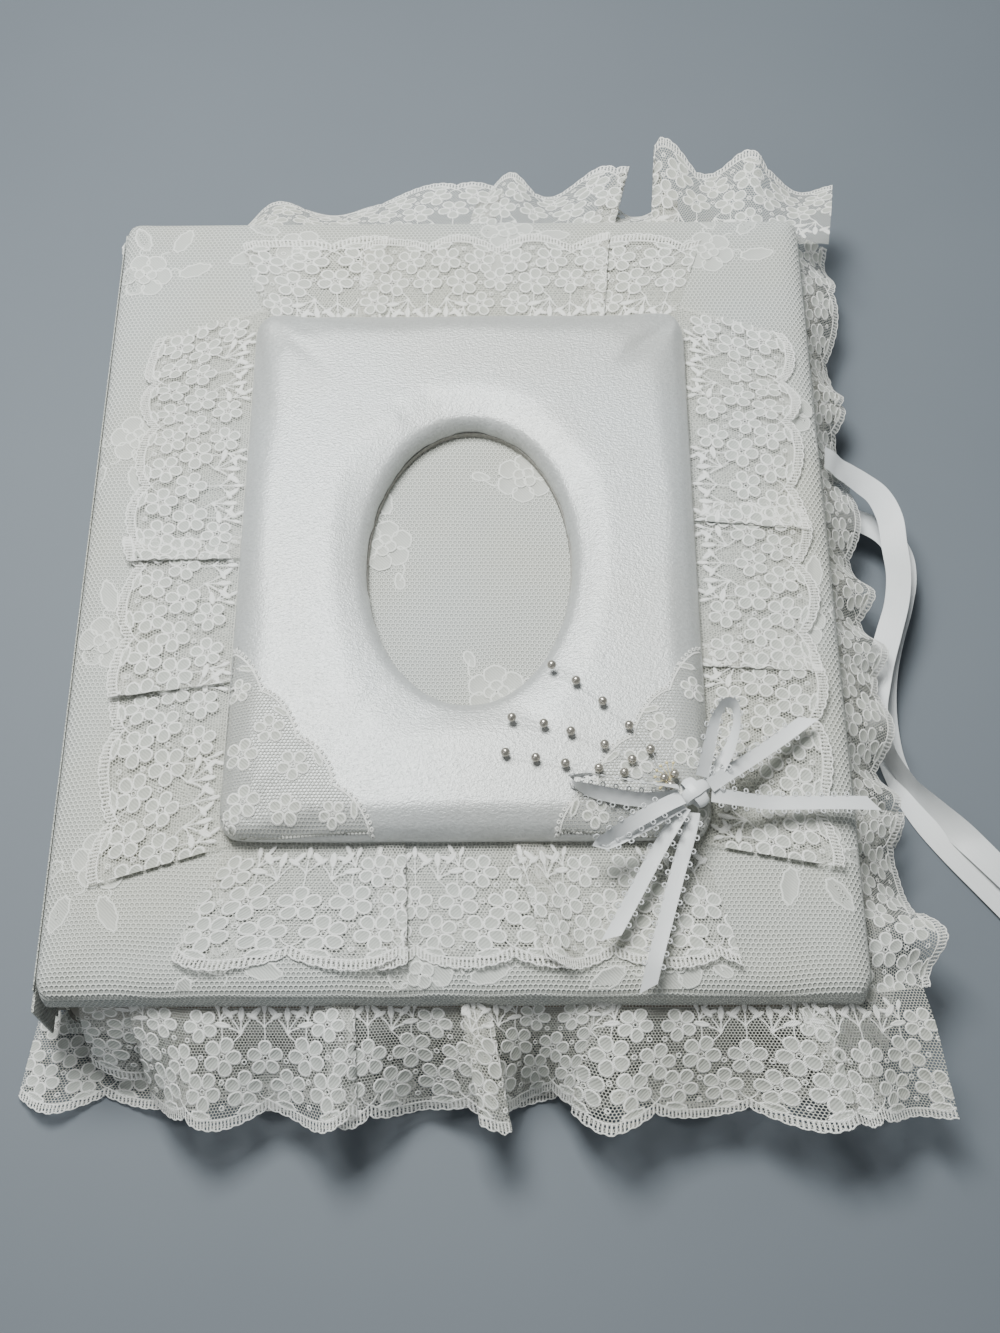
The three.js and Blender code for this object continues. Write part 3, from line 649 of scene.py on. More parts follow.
TIE_ROUTES = {
    "tie_ribbon_front": [
        (0.136, 0.0502, 0.0356), (0.1388, 0.0499, 0.0334), (0.1422, 0.0492, 0.0296),
        (0.1464, 0.0484, 0.0264), (0.1516, 0.0462, 0.0238), (0.1572, 0.0416, 0.0226),
        (0.1608, 0.0324, 0.0222), (0.1616, 0.0204, 0.0214), (0.1624, 0.0096, 0.0194),
        (0.161, -0.0014, 0.0176), (0.1574, -0.0128, 0.0158), (0.1536, -0.0244, 0.0144),
        (0.151, -0.035, 0.0134), (0.1498, -0.043, 0.0124), (0.151, -0.0514, 0.0108),
        (0.1548, -0.0596, 0.0082), (0.161, -0.0684, 0.0054), (0.1698, -0.0788, 0.0042),
        (0.1796, -0.0894, 0.0036), (0.1898, -0.1012, 0.0033), (0.1996, -0.113, 0.0031),
        (0.209, -0.125, 0.003), (0.2174, -0.1374, 0.003)],
    "tie_ribbon_back": [
        (0.136, 0.0404, 0.0087), (0.139, 0.0402, 0.0094), (0.145, 0.0394, 0.0106),
        (0.153, 0.0364, 0.0116), (0.161, 0.0306, 0.012), (0.1656, 0.0216, 0.012),
        (0.166, 0.0114, 0.0114), (0.1634, -0.0004, 0.0104), (0.1594, -0.0124, 0.0092),
        (0.1562, -0.0244, 0.0076), (0.1548, -0.036, 0.0054), (0.155, -0.047, 0.0032),
        (0.1564, -0.058, 0.0016), (0.160, -0.0694, 0.0012), (0.166, -0.081, 0.0012),
        (0.1744, -0.093, 0.0012), (0.184, -0.105, 0.0012), (0.1936, -0.117, 0.0012),
        (0.203, -0.129, 0.0012), (0.211, -0.141, 0.0012)],
}
TIE_LEANS = {
    "tie_ribbon_front": [90, 90, 84, 70, 58, 62, 74, 80, 60, 14, 10, 40, 78, 90, 90, 88, 90],
    "tie_ribbon_back": [90, 90, 84, 76, 80, 86, 90, 84, 80, 86, 90, 90, 90],
}
BOW_WIDTH, TIE_WIDTH = 4.8, 9.5


def make_bow_ribbons():
    for name, points in BOW_ROUTES.items():
        loop = "loop" in name
        piece, length = make_ribbon(name + "_ribbon", "front_cover", points, BOW_LEANS[name],
                                    BOW_WIDTH, picots=True, slant=0.0 if loop else 0.9)
        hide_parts(name)
        print(name, round(length / MM), "mm")


def make_ties():
    for name, body in (("tie_ribbon_front", "front_cover"), ("tie_ribbon_back", "back_cover")):
        points = TIE_ROUTES[name]
        piece, length = make_ribbon(name + "_satin", body, points, TIE_LEANS[name], TIE_WIDTH,
                                    picots=False, slant=0.8)
        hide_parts(name)
        print(name, round(length / MM), "mm")


make_bow_ribbons()
make_ties()

# %% [markdown]
# ## Drawing lace
# Machine lace has three parts: an open honeycomb net, shapes filled with dense thread, and a thick
# cord sewn round each shape. The net's holes are left to its finish, but the shapes stand proud,
# so they are meshes. One shape is a circle, pulled into a petal or a leaf, whose face is inset
# twice: up on to the cord and down off it. Everything is drawn flat, in millimetres.

# %% Draw one corded shape, one thread and one flower
CORD, FILL = 0, 1


def corded_shape(lace, at, turn, length, width, rim=10, taper=0.0, point=0.0, teeth=0.0,
                 cord=0.55, rise=0.36, level=0.05, dense=False):
    """A petal or leaf: `taper` narrows its root, `point` sharpens its tip, `teeth` notch its rim,
    `level` keeps shapes that overlap apart, and a `dense` one is all cord."""
    rim_verts = bmesh.ops.create_circle(lace, cap_ends=True, segments=rim, radius=1.0)["verts"]
    for k, vert in enumerate(rim_verts):
        x, y = vert.co.xy
        notch = 1 + teeth * (0.5 if k % 2 else -0.5)
        slim = (1 - taper * (1 - x) / 2) * (1 - point * max(0.0, x) ** 2)
        vert.co = (x * notch * length / 2, y * notch * slim * width / 2, 0)
    bmesh.ops.rotate(lace, verts=rim_verts, matrix=Matrix.Rotation(turn, 3, "Z"))
    bmesh.ops.translate(lace, verts=rim_verts, vec=(*at, level))
    face = rim_verts[0].link_faces[0]
    face.normal_update()
    for step in (rise, -0.12 if dense else -0.2):
        bmesh.ops.inset_region(lace, faces=[face], thickness=cord / 2, depth=step,
                               use_boundary=True, use_even_offset=True)
    face.material_index = CORD if dense else FILL


def thread_line(lace, path, pieces, width=0.42, rise=0.32):
    """A thread along path(u), u from 0 to 1: a narrow strip with a raised middle."""
    strip = bmesh.ops.create_grid(lace, x_segments=pieces, y_segments=2, size=0.5)["verts"]
    for vert in strip:
        u, side = vert.co.x + 0.5, round(vert.co.y * 2)
        here, ahead = Vector(path(u)), Vector(path(u + 0.01))
        along = (ahead - here).normalized()
        across = Vector((-along.y, along.x))
        vert.co = (*(here + across * side * width / 2), 0.05 if side else rise)


def stem(lace, start, bend, end, width=0.42, pieces=5):
    """A thread that curves from start to end, drawn towards bend."""
    a, b, c = Vector(start), Vector(bend), Vector(end)
    thread_line(lace, lambda u: a * (1 - u) ** 2 + b * 2 * u * (1 - u) + c * u * u, pieces, width)


def thread_ring(lace, at, radius, width=0.42):
    hub = bmesh.ops.create_circle(lace, cap_ends=True, segments=8, radius=radius)["verts"]
    bmesh.ops.translate(lace, verts=hub, vec=(*at, 0.06))
    face = hub[0].link_faces[0]
    face.normal_update()
    for step in (0.34, -0.3):
        bmesh.ops.inset_region(lace, faces=[face], thickness=width / 2, depth=step,
                               use_boundary=True, use_even_offset=True)
    bmesh.ops.delete(lace, geom=[face], context="FACES_ONLY")


def aimed(at, turn, reach):
    """The spot at a reach from `at`, in the direction of the turn."""
    return at[0] + math.cos(turn) * reach, at[1] + math.sin(turn) * reach


def lace_flower(lace, at, size, turn, petals=5):
    for k in range(petals):
        way = turn + math.tau * k / petals
        corded_shape(lace, aimed(at, way, size * 0.285), way, size * 0.42, size * 0.43, taper=0.3,
                     cord=0.6, level=0.05 + 0.03 * k)
    thread_ring(lace, at, size * 0.075, width=0.36)


def leaf_spray(lace, root, turn, size, leaves=(-1.0, -0.45, 0.1, 0.65)):
    """Small dense leaves that fan out from a root on short stems."""
    for k, bend in enumerate(leaves):
        way = turn + bend
        reach = size * (0.62 + 0.16 * (k % 2))
        corded_shape(lace, aimed(root, way, reach), way + bend * 0.3, size * 0.52, size * 0.25,
                     rim=8, taper=0.4, point=0.3, dense=True, cord=0.5, rise=0.42)
        stem(lace, root, aimed(root, turn + bend * 0.6, reach * 0.4),
             aimed(root, way, reach * 0.66), width=0.5, pieces=3)


# %% [markdown]
# The gathered lace has a scallop every 28 mm. Its outer edge is a ladder of short rungs between
# two cords. Two notched leaves grow from each cusp, then come two staggered rows of five-petalled
# flowers, and dense leaf sprays round a last flower near the heading, where the lace is gathered.
# The real pattern varies a little, so the second half of our 56 mm repeat is the first, mirrored.
# What sits on a mirror line would cross its own image, so it is drawn once, after the mirroring.

# %% Draw one repeat of the gathered lace
LACE_WIDTH, SCALLOP, CUSP, LADDER = 45.0, 28.0, 4.4, 3.1
LOBE_STEP, LOBE_HEIGHT, RUNGS_PER_SCALLOP = 3.5, 0.5, 24


def lace_edge(s):
    """How far out the scalloped edge lies at s, in mm from the heading."""
    return LACE_WIDTH - CUSP * (1 - np.abs(np.sin(np.pi * np.asarray(s) / SCALLOP)) ** 0.75)


def draw_half_repeat():
    lace = bmesh.new()
    for at, size, turn in (((7.2, 33.0), 12.8, 0.3), ((20.6, 33.4), 12.8, 1.1),
                           ((14.0, 22.6), 13.2, 0.1), ((7.0, 12.6), 12.0, 0.5)):
        lace_flower(lace, at, size, turn)
    for at in ((13.7, 30.6), (6.9, 22.8), (21.2, 24.6), (13.6, 38.4), (2.4, 17.4)):
        thread_ring(lace, at, 0.95)
    for root, bend, tip, turn in (((0.0, 37.6), (2.0, 39.4), (5.2, 39.6), 0.25),
                                  ((28.0, 37.6), (26.0, 39.4), (22.8, 39.6), math.pi - 0.25)):
        stem(lace, root, bend, tip, pieces=3)
        corded_shape(lace, aimed(tip, turn, 1.2), turn, 7.6, 3.4, rim=14, point=0.55, teeth=0.22)
    stem(lace, (0.0, 37.6), (3.0, 35.0), (2.6, 31.0))
    stem(lace, (28.0, 37.6), (25.6, 36.6), (25.2, 34.0))
    leaf_spray(lace, (20.4, 15.6), -math.pi / 2 - 0.1, 11.0)
    leaf_spray(lace, (13.4, 11.0), -math.pi / 2 + 0.3, 8.0, (-0.5, 0.1, 0.7))
    stem(lace, (20.4, 15.6), (19.0, 17.0), (17.4, 18.6))
    stem(lace, (13.4, 11.0), (14.4, 14.0), (14.2, 17.0))
    return lace


def draw_ladder(lace, first, last):
    """The scalloped border from s = first to last: two cords and the rungs between them."""
    def outer(s):
        lobe = LOBE_HEIGHT * abs(math.sin(math.pi * s / LOBE_STEP))
        return s, float(lace_edge(s)) + lobe - 0.3

    def inner(s):
        return s, float(lace_edge(s)) - LADDER

    span = last - first
    for line, pieces in ((outer, 24), (inner, 12)):
        thread_line(lace, lambda u: line(first + u * span), int(pieces * span / SCALLOP), 0.5)
    rungs = int(round(span / SCALLOP * RUNGS_PER_SCALLOP))
    for k in range(rungs):
        s = first + (k + 0.5) * span / rungs
        low, high = Vector(inner(s)), Vector(outer(s))
        thread_line(lace, lambda u: low.lerp(high, u), 1, 0.55, rise=0.4)


def make_lace_repeat():
    repeat = draw_half_repeat()
    half = mesh_of(repeat.copy(), "half_repeat")
    before = len(repeat.verts)
    repeat.from_mesh(half)
    repeat.verts.ensure_lookup_table()
    repeat.faces.ensure_lookup_table()
    mirrored = repeat.verts[before:]
    bmesh.ops.scale(repeat, verts=mirrored, vec=(-1, 1, 1))
    bmesh.ops.translate(repeat, verts=mirrored, vec=(2 * SCALLOP, 0, 0))
    turned = [f for f in repeat.faces if f.verts[0].index >= before]
    bmesh.ops.reverse_faces(repeat, faces=turned)
    for at, size, turn in (((28.0, 23.6), 12.4, -math.pi / 2), ((0.0, 24.6), 12.4, 0.0)):
        lace_flower(repeat, at, size, turn)
    leaf_spray(repeat, (28.0, 13.4), -math.pi / 2, 9.0, (-0.8, 0.0, 0.8))
    stem(repeat, (28.0, 13.4), (28.4, 15.6), (28.0, 18.0))
    draw_ladder(repeat, 0.0, 2 * SCALLOP)
    return mesh_of(repeat, "lace_repeat")


LACE_REPEAT = make_lace_repeat()
print("one 56 mm repeat:", len(LACE_REPEAT.vertices), "points,", len(LACE_REPEAT.polygons), "faces")

# %% [markdown]
# A strip of lace is the repeat, copied and cut to length, over a net with the same scalloped edge.
# It then needs a place to lie. Each strip is gathered: its heading is sewn in a straight line, and
# the cloth, which is a tenth to nearly a half longer than that line, rises in waves that grow
# towards the free edge. Here and there it folds right over itself. Such a fold is an S: forward,
# back underneath, and forward again, so we walk along the cloth and turn back inside each fold.

# %% Helpers that gather and lay a strip
def smooth_step(x):
    x = np.clip(x, 0, 1)
    return x * x * (3 - 2 * x)


WAVE_TAKE_UP, FOLD_HALF = 0.965, 11.0


def strip_length(run, folds):
    """The lace cut for a run: a little for the waves, and a whole tuck for every fold."""
    return run / WAVE_TAKE_UP + 2 * FOLD_HALF * len(folds)


def walk_folds(length, run, folds):
    """How far along the run each spot of the flat lace comes to lie. In a fold the walk turns
    back for half of the tuck's length, so the tuck itself gets nowhere."""
    s = np.linspace(0, length, 1200)
    step = np.full_like(s, WAVE_TAKE_UP)
    middles = []
    for k, (middle, *_) in enumerate(sorted(folds)):
        middles.append(middle / WAVE_TAKE_UP + (2 * k + 1) * FOLD_HALF)
        u = np.abs(s - middles[-1]) / FOLD_HALF
        inside = 1 - smooth_step((u - 0.38) / 0.24)
        step = np.where(u < 1, 1 - 2 * inside, step)
    walked = np.concatenate([[0.0], np.cumsum((step[1:] + step[:-1]) / 2 * np.diff(s))])
    return s, walked * run / walked[-1], middles


def gathered(start, along, outward, run, levels, wave, folds=(), fan=(0, 0), droop=None,
             spread=((0, 1), (1, 1))):
    """Returns the function that lays a strip, and the strip's flat length in mm. Levels are the
    heights of the heading and of the free edge, and the reach per mm of width. The wave is
    (height, length). A fold is (place in the run, which side lies on top, slant, height). `fan`
    slants the two ends, `droop` says how the fall is shared over the width, and `spread` how far
    the lace stands out at each share of its length: where it stands out less, it hangs lower."""
    start, along, outward = (np.array(v, float) for v in (start, along, outward))
    length = strip_length(run, folds)
    spots, walked, middles = walk_folds(length, run, folds)
    lowest = min(levels[1], 1.0)

    def place(flat):
        s, t, h = flat.T
        out = t / LACE_WIDTH
        share = s / length
        sigma = np.interp(s, spots, walked) - fan[0] * out * (1 - smooth_step(share * 4)) \
            + fan[1] * out * smooth_step(share * 4 - 3)
        rise = np.zeros_like(s)
        for (_, side, slant, height), middle in zip(sorted(folds), middles):
            u = (s - middle) / FOLD_HALF
            sigma = sigma + slant * out * np.exp(-(u * 0.45) ** 2)
            u = u * side
            lifted = np.where(u < -0.5, smooth_step((u + 2.1) / 1.1),
                              1 - smooth_step(u + 0.5))
            rise = rise + height * lifted * (0.5 + 0.5 * out)
        turns = math.tau * s / wave[1]
        ripple = 0.5 + 0.5 * np.sin(turns + 1.3 * np.sin(turns * 0.37) + start.sum() * 0.07)
        gather = 0.5 + 0.5 * np.sin(math.tau * s / 5.2 + np.sin(s * 0.3))
        height = levels[0] + (levels[1] - levels[0]) * (droop(out) if droop else out)
        height = height + wave[0] * ripple * out ** 1.3 + 0.5 * gather * (1 - out) ** 3 + rise
        stands_out = np.interp(share, *np.array(spread, float).T)
        hanging = np.sqrt(np.clip(1 - stands_out ** 2, 0, 1))
        height = np.maximum(height - hanging * 0.55 * t * levels[2] * out, lowest)
        reach = t * levels[2] * stands_out * (1 + 0.018 * wave[0] * (ripple - 0.5) * out)
        flat_spot = start + along * sigma[:, None] + outward * reach[:, None]
        return np.column_stack([flat_spot, height + h]) * MM

    return place, length


def draw_net_strip(length):
    """The net, scalloped on its free edge. The heading is at t = 0."""
    net = cloth_grid(length, 1.0, int(length / 1.25), 22)
    for vert in net.verts:
        vert.co.y = (vert.co.y + 0.5) * (float(lace_edge(vert.co.x)) - 0.4)
    return net


def draw_pattern_strip(length):
    pattern = bmesh.new()
    for k in range(int(length / (2 * SCALLOP)) + 1):
        add_copy(pattern, LACE_REPEAT, (k * 2 * SCALLOP, 0, 0))
    for end, way in ((0.0, -1), (length, 1)):
        bmesh.ops.bisect_plane(pattern, geom=pattern.verts[:] + pattern.edges[:] + pattern.faces[:],
                               plane_co=(end, 0, 0), plane_no=(way, 0, 0), clear_outer=True)
    return pattern


def make_gathered_lace(cad_node, body, place, length):
    """Net and pattern for one strip of gathered lace, both laid by the same place function."""
    pieces = []
    for suffix, drawn, finishes in (("_net", draw_net_strip(length), [LACE_NET]),
                                    ("_flowers", draw_pattern_strip(length),
                                     [LACE_CORD, LACE_FILL])):
        keep_flat_places(drawn)
        lay(drawn, place)
        piece = finish_piece(cad_node + suffix, drawn, finishes, body)
        pieces.append(piece)
    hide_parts(cad_node)
    return pieces

# %% [markdown]
# ## The two padded covers
# A cover is a board with batting over it, wrapped in lace and satin. The cloth is tight, so the
# cover is nearly flat on top, with a soft roll at the rim. We start from a box with rounded corners
# and rims, a little small, remesh it to even squares, and let Blender's Cloth blow it up with
# gentle air pressure. The side against the board is pinned, and no point may move more than a
# millimetre or two.

# %% Helpers that pad a shape
LOWER_ROLL, CLOTH_FRAMES = 1.5, 20


def rounded_slab(low, high, corner, roll):
    """A box in mm with rounded upright corners and rolled top and bottom rims."""
    slab = bmesh.new()
    bmesh.ops.create_cube(slab, size=1.0)
    middle = [(a + b) / 2 for a, b in zip(low, high)]
    bmesh.ops.scale(slab, verts=slab.verts, vec=[b - a for a, b in zip(low, high)])
    bmesh.ops.translate(slab, verts=slab.verts, vec=middle)
    uprights = [e for e in slab.edges if abs(e.verts[0].co.z - e.verts[1].co.z) > 1]
    bmesh.ops.bevel(slab, geom=uprights, offset=corner, segments=5, profile=0.5, material=-1,
                    affect="EDGES")
    for level, size in ((high[2], roll), (low[2], min(LOWER_ROLL, roll))):
        rim = [e for e in slab.edges if all(abs(v.co.z - level) < 0.01 for v in e.verts)]
        bmesh.ops.bevel(slab, geom=rim, offset=size, segments=4, profile=0.5, material=-1,
                        affect="EDGES")
    return slab


def remeshed(drawn, square_mm):
    """Gives a drawing in mm an even skin of squares, in metres."""
    bmesh.ops.scale(drawn, verts=drawn.verts, vec=(MM, MM, MM))
    rough = put_in_scene("rough", mesh_of(drawn, "rough"))
    even = rough.modifiers.new("even", "REMESH")
    even.mode, even.voxel_size = "VOXEL", square_mm * MM
    deps = bpy.context.evaluated_depsgraph_get()
    mesh = bpy.data.meshes.new_from_object(rough.evaluated_get(deps))
    bpy.data.objects.remove(rough)
    return mesh


def mesh_points(mesh):
    flat = np.zeros(len(mesh.vertices) * 3)
    mesh.vertices.foreach_get("co", flat)
    return flat.reshape(-1, 3)


def blow_up(mesh, held, cap_mm, pressure=4.0):
    """Cloth with air inside, for some frames. Held points stay, the rest move cap_mm at most."""
    balloon = put_in_scene("balloon", mesh)
    pins = balloon.vertex_groups.new(name="pins")
    start = mesh_points(mesh)
    pins.add([int(k) for k in np.flatnonzero(held(start))], 1.0, "REPLACE")
    cloth = balloon.modifiers.new("air", "CLOTH")
    cloth.settings.vertex_group_mass = "pins"
    cloth.settings.use_pressure = True
    cloth.settings.uniform_pressure_force = pressure
    cloth.settings.effector_weights.gravity = 0.0
    cloth.collision_settings.use_collision = False
    cloth.point_cache.frame_end = CLOTH_FRAMES
    for step in range(1, CLOTH_FRAMES + 1):
        bpy.context.scene.frame_set(step)
    deps = bpy.context.evaluated_depsgraph_get()
    blown = mesh_points(balloon.evaluated_get(deps).to_mesh())
    bpy.data.objects.remove(balloon)
    bpy.context.scene.frame_set(1)
    moved = blown - start
    far = np.linalg.norm(moved, axis=1)[:, None]
    print("  cloth moved up to", round(float(far.max()) / MM, 1), "mm")
    return start + moved * np.minimum(1.0, cap_mm * MM / np.maximum(far, 1e-9))


def padded_piece(name, mesh, points, finish, body):
    mesh.vertices.foreach_set("co", points.ravel())
    mesh.update()
    mesh.materials.clear()
    mesh.materials.append(finish)
    mesh.shade_smooth()
    piece = put_in_scene(name, mesh)
    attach(piece, body)
    smoother = piece.modifiers.new("smoother", "SUBSURF")
    smoother.levels = smoother.render_levels = 1
    return piece


# %% [markdown]
# The two covers are made alike. The cloth on a cover's inner side is turned in over the board's
# rim and glued, and the lining hides its middle. So points under the lining are pressed in past
# the lining's hidden face, where they can't poke through it.

# %% Make the covers
COVER_CORNER, COVER_SQUARES, TURNED_IN = 5.0, 4.5, 2.5


def make_cover(name, skin, lining, body, roll, upside):
    """`upside` is 1 where the padded face looks up, and -1 where it looks down."""
    low, high = strip_box(skin)
    slab = rounded_slab(low + 0.1, high - 0.1, COVER_CORNER, roll)
    mesh = remeshed(slab, COVER_SQUARES)
    inner = high[2] if upside < 0 else low[2]
    points = blow_up(mesh, lambda p: np.abs(p[:, 2] / MM - inner) < TURNED_IN, cap_mm=1.2)
    points = np.clip(points, (low - 0.3) * MM, (high + 0.1) * MM)
    board_low, board_high = (np.array(c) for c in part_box(lining))
    covered = ((points[:, :2] > board_low[:2] + MM) & (points[:, :2] < board_high[:2] - MM)).all(1)
    covered &= np.abs(points[:, 2] / MM - inner) < TURNED_IN
    points[covered, 2] = board_high[2] + 0.2 * MM if upside > 0 else board_low[2] - 0.2 * MM
    piece = padded_piece(name, mesh, points, LACE_OVER_SATIN, body)
    print(name, len(points), "points")
    return piece


front_cover_cloth = make_cover("front_cover_cloth", "front_cover_skin", "front_lining",
                               "front_cover", 6.0, upside=1)
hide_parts("front_cover_skin", "front_padding")
back_cover_cloth = make_cover("back_cover_cloth", "back_cover_skin", "back_lining",
                              "back_cover", 2.4, upside=-1)
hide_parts("back_cover_skin", "back_padding")

# %% [markdown]
# ## The puffed satin frame
# The frame is a fat satin ring: a rounded rectangle outside, an oval inside. Two loops of points,
# one on each outline, are bridged into a flat ring, which is pushed up into a solid. The rims are
# bevelled, then it is remeshed and blown up as the covers are. Satin that is pulled round a tight
# curve puckers, so small radial puckers are pressed in at the oval and at the outer corners last.

# %% Make the satin frame
WINDOW_MIDDLE, WINDOW_HALF = (4.4, -3.7), (34.5, 54.5)
FRAME_CORNER, FRAME_SQUARES, FRAME_ROLL, RING_SPOTS = 6.5, 3.0, 5.0, 120


def outline_spots(low, high, corner, count):
    """Spots evenly turned about the middle, pushed out to a rounded rectangle."""
    middle = (low + high) / 2
    half = (high - low) / 2
    for k in range(count):
        turn = math.tau * k / count
        way = Vector((math.cos(turn), math.sin(turn)))
        core = half - corner
        reach = min(half[0] / max(abs(way.x), 1e-6), half[1] / max(abs(way.y), 1e-6))
        spot = way * reach
        inside = Vector((max(-core[0], min(core[0], spot.x)), max(-core[1], min(core[1], spot.y))))
        off = spot - inside
        if abs(off.x) > 1e-6 and abs(off.y) > 1e-6:
            spot = inside + off.normalized() * corner
        yield middle[0] + spot.x, middle[1] + spot.y


def make_satin_frame():
    low, high = strip_box("frame_satin")
    ring = bmesh.new()
    outside, window = (bmesh.ops.create_circle(ring, cap_ends=False, segments=RING_SPOTS,
                                               radius=1.0)["verts"] for _ in range(2))
    spots = outline_spots(low[:2] + 0.8, high[:2] - 0.8, FRAME_CORNER, RING_SPOTS)
    for vert, spot in zip(outside, spots):
        vert.co = (*spot, low[2])
    for vert in window:
        vert.co = (WINDOW_MIDDLE[0] + vert.co.x * (WINDOW_HALF[0] + 1.0),
                   WINDOW_MIDDLE[1] + vert.co.y * (WINDOW_HALF[1] + 1.0), low[2])
    bmesh.ops.bridge_loops(ring, edges=ring.edges[:])
    lifted = bmesh.ops.extrude_face_region(ring, geom=ring.faces[:])
    tops = [v for v in lifted["geom"] if isinstance(v, bmesh.types.BMVert)]
    bmesh.ops.translate(ring, verts=tops, vec=(0, 0, high[2] - low[2] - 1.4))
    bmesh.ops.recalc_face_normals(ring, faces=ring.faces)
    top = set(tops)
    rims = [e for e in ring.edges if all(v in top for v in e.verts)
            and len({f for f in e.link_faces if all(v in top for v in f.verts)}) == 1]
    bmesh.ops.bevel(ring, geom=rims, offset=FRAME_ROLL, segments=4, profile=0.5, material=-1,
                    affect="EDGES")
    mesh = remeshed(ring, FRAME_SQUARES)
    points = blow_up(mesh, lambda p: p[:, 2] / MM < low[2] + 1.5, cap_mm=2.2, pressure=5.0)
    points = pucker(points / MM, low, high) * MM
    return mesh, np.clip(points, (low - 0.3) * MM, (high + 0.2) * MM)


def pucker(points, low, high):
    """Presses creases into satin in mm: radial ones at the oval, and a few at the corners."""
    x, y, z = points.T
    to_x, to_y = (x - WINDOW_MIDDLE[0]) / WINDOW_HALF[0], (y - WINDOW_MIDDLE[1]) / WINDOW_HALF[1]
    turn = np.arctan2(to_y, to_x)
    away = (np.hypot(to_x, to_y) - 1) * 42
    top = smooth_step((z - low[2] - 3) / 5)
    creases = np.sin(turn * 31 + 2.2 * np.sin(turn * 7)) * np.exp(-np.clip(away, 0, 60) / 3.4)
    swell = np.sin(x * 0.09 + 1.1) * np.sin(y * 0.07 + 0.4) * 0.28
    edge = np.minimum.reduce([x - low[0], high[0] - x, y - low[1], high[1] - y])
    along = np.where(np.minimum(x - low[0], high[0] - x) < np.minimum(y - low[1], high[1] - y), y, x)
    pulls = np.sin(along * 0.55 + 1.7 * np.sin(along * 0.13)) * np.exp(-np.clip(edge, 0, 60) / 5.0)
    z = z + top * (0.16 * creases + swell + 0.14 * pulls)
    return np.column_stack([x, y, z])


frame_mesh, frame_points = make_satin_frame()
satin_frame = padded_piece("satin_frame", frame_mesh, frame_points, CREPE_SATIN, "front_cover")
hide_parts("frame_satin", "frame_padding")
print("satin frame:", len(frame_points), "points")

# %% [markdown]
# ## The allover lace on the cover
# The cover's lace is finer than the gathered one: a net, with large faint roses and leaves. They
# are drawn with the same corded shapes, only lower, and then draped. A ray is dropped on to the
# cover from above every point, and the point is set just over the spot where the ray lands.

# %% Drape the rose sprays over the cover
RIM_BELOW_TOP, ROSE_SIZE, ROSES_HALF = 14, 0.92, (131.5, 154.5)


def drop_on(under, lift):
    """Returns the function that drapes a flat drawing, in album millimetres, over a piece. Where
    a ray misses, beyond the rim, the point goes to the nearest spot of the rim instead."""
    tree = bvhtree.BVHTree.FromObject(under, bpy.context.evaluated_depsgraph_get())
    rim_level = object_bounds()[1].z - RIM_BELOW_TOP * MM

    def place(flat):
        spots = flat * MM
        for spot in spots:
            relief = spot[2] + lift * MM
            hit = tree.ray_cast(Vector((spot[0], spot[1], 0.2)), Vector((0, 0, -1)))[0]
            if hit is None:
                hit = tree.find_nearest(Vector((spot[0], spot[1], rim_level)))[0]
            spot[:] = hit.x, hit.y, hit.z + relief
        return spots

    return place


def rose_spray(lace, at, turn, size):
    """A rose of two rings of petals with three leaves and a bud, faintly raised."""
    def shape(where, way, length, width, **how):
        corded_shape(lace, where, way, length * size, width * size, cord=0.6, rise=0.26, **how)

    for k in range(6):
        way = turn + math.tau * k / 6
        shape(aimed(at, way, 7.2 * size), way, 8.4, 9.4, rim=12, teeth=0.06,
              level=0.05 + 0.05 * k)
    for k in range(4):
        way = turn + 0.5 + math.tau * k / 4
        shape(aimed(at, way, 2.6 * size), way, 5.0, 5.4, rim=10, level=0.4 + 0.05 * k)
    for bend, reach in ((2.3, 21.0), (3.1, 24.0), (3.9, 20.0)):
        way = turn + bend
        shape(aimed(at, way, reach * size), way + 0.25, 15.0, 7.0, rim=18, point=0.5, teeth=0.12)
        stem(lace, aimed(at, way, 10 * size), aimed(at, way + 0.3, 13 * size),
             aimed(at, way, 15 * size), width=0.6)
    bud = aimed(at, turn - 0.5, 17 * size)
    shape(bud, turn - 0.7, 8.0, 5.5, taper=0.4)
    stem(lace, aimed(at, turn - 0.2, 10 * size), aimed(at, turn, 13 * size), bud, width=0.6)


ROSE_SPOTS = [(-122, 128, 4.1), (-118, 52, 0.9), (-121, -32, 4.0), (-114, -112, 1.0),
              (-62, 140, 0.2), (18, 150, 2.2), (96, 138, 3.9), (121, 62, 2.4), (118, -26, 4.4),
              (116, -104, 2.0), (70, -146, 0.3), (-10, -150, 3.2), (-76, -140, 1.9),
              (24, 34, 3.6), (-26, 6, 5.6), (14, -52, 2.7)]


def make_cover_roses():
    roses = bmesh.new()
    for x, y, turn in ROSE_SPOTS:
        rose_spray(roses, (x, y), turn, ROSE_SIZE)
    for axis, reach in enumerate(ROSES_HALF):
        for way in (-1, 1):
            normal = [0.0, 0.0, 0.0]
            normal[axis] = way
            bmesh.ops.bisect_plane(roses, geom=roses.verts[:] + roses.edges[:] + roses.faces[:],
                                   plane_co=[n * reach for n in normal], plane_no=normal,
                                   clear_outer=True)
    keep_flat_places(roses)
    lay(roses, drop_on(front_cover_cloth, lift=0.02))
    piece = finish_piece("front_cover_roses", roses, [FAINT_CORD, FAINT_FILL], "front_cover")
    print("roses:", len(piece.data.polygons), "faces")


make_cover_roses()

